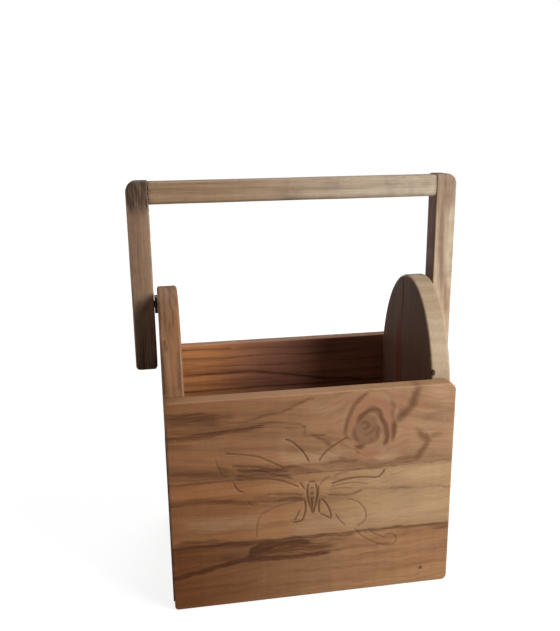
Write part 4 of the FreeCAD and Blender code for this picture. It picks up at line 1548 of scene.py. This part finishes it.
def handle_arm(hand, material, seed):
    """One arm, a plate across Y and Z: shoulder and foot rounded outside, a countersunk pivot hole."""
    node = f"{hand}_handle_arm"
    low, high = box_mm(node)
    side = -1 if hand == "left" else 1
    outer, inner = (low[X], high[X]) if side < 0 else (high[X], low[X])
    screw_low, screw_high = box_mm(f"{hand}_pivot_screw")
    pivot = np.array([0.0, (screw_low[Z] + screw_high[Z]) / 2])
    spans = ((low[Y], high[Y]), (low[Z], high[Z]))
    corners = dict.fromkeys(FRONT_CORNERS, ARM_ARRIS)
    zones_y = [(-PIVOT_REACH, PIVOT_REACH, PIVOT_PITCH)]
    zones_z = [
        (pivot[1] - PIVOT_REACH, pivot[1] + PIVOT_REACH, PIVOT_PITCH),
        (high[Z] - ARM_SHOULDER - 1, high[Z] - ARM_ARRIS, SHOULDER_PITCH),
        (low[Z] + ARM_ARRIS, low[Z] + FOOT_ZONE, FOOT_PITCH),
    ]
    u = shares(stations(*spans[0], ARM_PITCH_ACROSS, zones_y, (ARM_ARRIS, ARM_ARRIS)))
    v = shares(stations(*spans[1], ARM_PITCH_UP, zones_z, (ARM_ARRIS, ARM_ARRIS)))
    plan = plate_plan(spans, corners, u, v)
    outer_plan = ringed(plan, pivot, PIVOT_REACH)

    def eased(place, top, foot):
        """How far a face is rounded off: quarter rounds at its top and foot, the arris along its sides."""
        away = plate_distance(place[..., 0], place[..., 1], spans, corners)
        drop = round_drop(high[Z] - place[..., 1], top) + round_drop(place[..., 1] - low[Z], foot)
        return np.maximum(drop + round_drop(away, ARM_ARRIS) * (drop < top * 0.7), 0)

    outside = eased(outer_plan, ARM_SHOULDER, ARM_FOOT)
    from_pivot = np.linalg.norm(outer_plan - pivot, axis=-1)
    cone = SINK_STEP + SINK_MOUTH - np.maximum(from_pivot, SINK_BORE)
    outside = outside + np.where(from_pivot < SINK_MOUTH - 0.01, cone, 0)
    inside = eased(plan, ARM_ARRIS, ARM_FOOT)
    near = np.stack([outer - side * outside, outer_plan[..., 0], outer_plan[..., 1]], -1)
    far = np.stack([inner + side * inside, plan[..., 0], plan[..., 1]], -1)
    points, faces = worked_slab(near, far, wall_steps=10, waviness=0.07, seed=seed)
    marks = arm_marks(points, hand, low, high, corners, inner, seed)
    solid_piece(f"{hand}_arm", points, faces, marks, material, "handle", [node])


def grip_bar(material, seed):
    """The grip bar: a plate across X and Z, small arrises above and large ones below for the fingers."""
    node = "handle_bar"
    low, high = box_mm(node)
    spans = ((low[X], high[X]), (low[Z], high[Z]))
    u = shares(stations(*spans[0], BAR_PITCH_ALONG, (), (SEAM_EASE, SEAM_EASE)))
    v = shares(stations(*spans[1], BAR_PITCH_UP, (), (BAR_GRIP_ARRIS, BAR_UPPER_ARRIS)))
    plan = plate_plan(spans, SQUARE_CORNERS, u, v)
    x, z = plan[..., 0], plan[..., 1]
    depth = round_drop(z - low[Z], BAR_GRIP_ARRIS) + round_drop(high[Z] - z, BAR_UPPER_ARRIS)
    near = np.stack([x, low[Y] + depth, z], -1)
    far = np.stack([x, high[Y] - depth, z], -1)
    points, faces = worked_slab(near, far, wall_steps=8, waviness=0.09, seed=seed)
    x, _, z = points.T
    from_end = high[X] - np.abs(x)
    above = np.minimum(z - low[Z], high[Z] - z)
    marks = {
        "arris": arris_share(points, above, Y, (low[Y], high[Y]), BAR_WEAR_REACH),
        "seam": BAR_END_DIRT * fading(from_end, BAR_END_GRIME),
        "stain_and_shade": BAR_END_TINT * fading(from_end, BAR_END_STAIN),
    }
    solid_piece("grip_bar", points, faces, marks, material, "handle", [node])


for hand, seed in (("left", 61), ("right", 62)):
    handle_arm(hand, arm_wood[hand], seed)
grip_bar(bar_wood, 63)


# Fixings keep the model's own shapes

def refinish(node, material):
    """The model's own piece in a better finish."""
    mesh = nodes[node].data
    mesh.materials.clear()
    mesh.materials.append(material)


for hand in ("left", "right"):
    refinish(f"{hand}_pivot_screw", zinc_steel)
    refinish(f"{hand}_pivot_washers", shaded_washer_steel)
    refinish(f"{hand}_bar_dowel", dowel_wood)
for group in ("front_brads", "back_brads", "panel_brads"):
    refinish(group, brad_steel)


# Floor, light and camera

# Half the floor's side; the distances over which it gets brighter to the eye, in metres, and how bright it
# is shown at them
FLOOR_REACH = 8.0
FLOOR_FADE = (0.2, 1.6)
FLOOR_SHOWN = (0.83, 0.985)
WHITE = colour(1.0, 1.0, 1.0)
ROOM = colour(0.125, 0.132, 0.15)

floor_mesh = bpy.data.meshes.new("studio_floor")
floor_corners = [(-FLOOR_REACH, -FLOOR_REACH, 0), (FLOOR_REACH, -FLOOR_REACH, 0),
                 (FLOOR_REACH, FLOOR_REACH, 0), (-FLOOR_REACH, FLOOR_REACH, 0)]
floor_mesh.from_pydata(floor_corners, [], [(0, 1, 2, 3)])
floor = bpy.data.objects.new("studio_floor", floor_mesh)
bpy.context.scene.collection.objects.link(floor)


def floor_finish():
    """A plain pale floor: dull grey-white paint, shown brighter to the eye than it lights the object."""
    material, tree, shader = new_material("floor_finish")
    shader.inputs["Base Color"].default_value = colour(0.27, 0.265, 0.26)
    shader.inputs["Roughness"].default_value = 1.0
    shader.inputs["Specular IOR Level"].default_value = 0.0
    seen = put(tree, "ShaderNodeLightPath").outputs["Is Camera Ray"]
    place = put(tree, "ShaderNodeTexCoord").outputs["Object"]
    away = vector_calc(tree, "LENGTH", place, output="Value")
    shown = calc(tree, "MULTIPLY", seen, ramp(tree, away, *FLOOR_FADE, *FLOOR_SHOWN))
    shader.inputs["Emission Color"].default_value = WHITE
    tree.links.new(shown, shader.inputs["Emission Strength"])
    return material


floor_mesh.materials.append(floor_finish())


def area_light(name, place, target, size, power):
    """A square soft light turned to a point."""
    light = bpy.data.lights.new(name, "AREA")
    light.shape = "SQUARE"
    light.size = size
    light.energy = power
    lamp = bpy.data.objects.new(name, light)
    bpy.context.scene.collection.objects.link(lamp)
    lamp.location = place
    lamp.rotation_mode = "QUATERNION"
    lamp.rotation_quaternion = (Vector(target) - Vector(place)).to_track_quat("-Z", "Y")


area_light("key_light", place=(0.575, -0.505, 0.36), target=(0.0, 0.0, 0.13), size=0.46, power=9.6)
area_light("top_light", place=(0.0, 0.32, 0.95), target=(0.0, 0.0, 0.14), size=0.46, power=4.2)
area_light("left_light", place=(-0.85, 0.02, 0.06), target=(0.0, 0.0, 0.10), size=0.2, power=3.6)
area_light("back_light", place=(0.15, 0.95, 0.07), target=(0.0, 0.0, 0.10), size=0.3, power=4.6)

world = bpy.data.worlds.new("studio")
bpy.context.scene.world = world
world.use_nodes = True
world_tree = world.node_tree
world_tree.nodes.clear()
rays = put(world_tree, "ShaderNodeLightPath").outputs
room = mixed(world_tree, rays["Is Camera Ray"], ROOM, WHITE)
sky = put(world_tree, "ShaderNodeBackground", {"Color": room, "Strength": 1.0})
world_output = world_tree.nodes.new("ShaderNodeOutputWorld")
world_tree.links.new(sky.outputs[0], world_output.inputs["Surface"])

# Camera: its place and turn match the photograph's view
PICTURE_HEIGHT = 631
FOCAL_PIXELS = 712.2
CAMERA_PLACE = (-0.0901, -0.4523, 0.2952)
CAMERA_PITCH, CAMERA_ROLL, CAMERA_YAW = (math.radians(angle) for angle in (14.67, -0.82, 9.11))
CENTRE_SHIFT = (10.6, -3.1)
camera_data = bpy.data.cameras.new("camera")
camera_data.sensor_width = 36.0
camera_data.lens = FOCAL_PIXELS * camera_data.sensor_width / PICTURE_HEIGHT
camera_data.shift_x = CENTRE_SHIFT[0] / PICTURE_HEIGHT
camera_data.shift_y = CENTRE_SHIFT[1] / PICTURE_HEIGHT
camera_data.clip_start = 0.01
camera = bpy.data.objects.new("camera", camera_data)
bpy.context.scene.collection.objects.link(camera)
camera.location = CAMERA_PLACE
camera.rotation_mode = "XYZ"


def camera_turn(pitch, roll, yaw):
    """Turn of a camera that looks along +Y, yawed right, pitched down, then rolled about its view."""
    forward = Vector((math.sin(yaw) * math.cos(pitch), math.cos(yaw) * math.cos(pitch), -math.sin(pitch)))
    right = Vector((math.cos(yaw), -math.sin(yaw), 0))
    up = right.cross(forward)
    turned_right = math.cos(roll) * right + math.sin(roll) * up
    turned_up = math.cos(roll) * up - math.sin(roll) * right
    return Matrix((turned_right, turned_up, -forward)).transposed().to_euler("XYZ")


camera.rotation_euler = camera_turn(CAMERA_PITCH, CAMERA_ROLL, CAMERA_YAW)
bpy.context.scene.camera = camera
bpy.context.scene.view_settings.view_transform = "Standard"
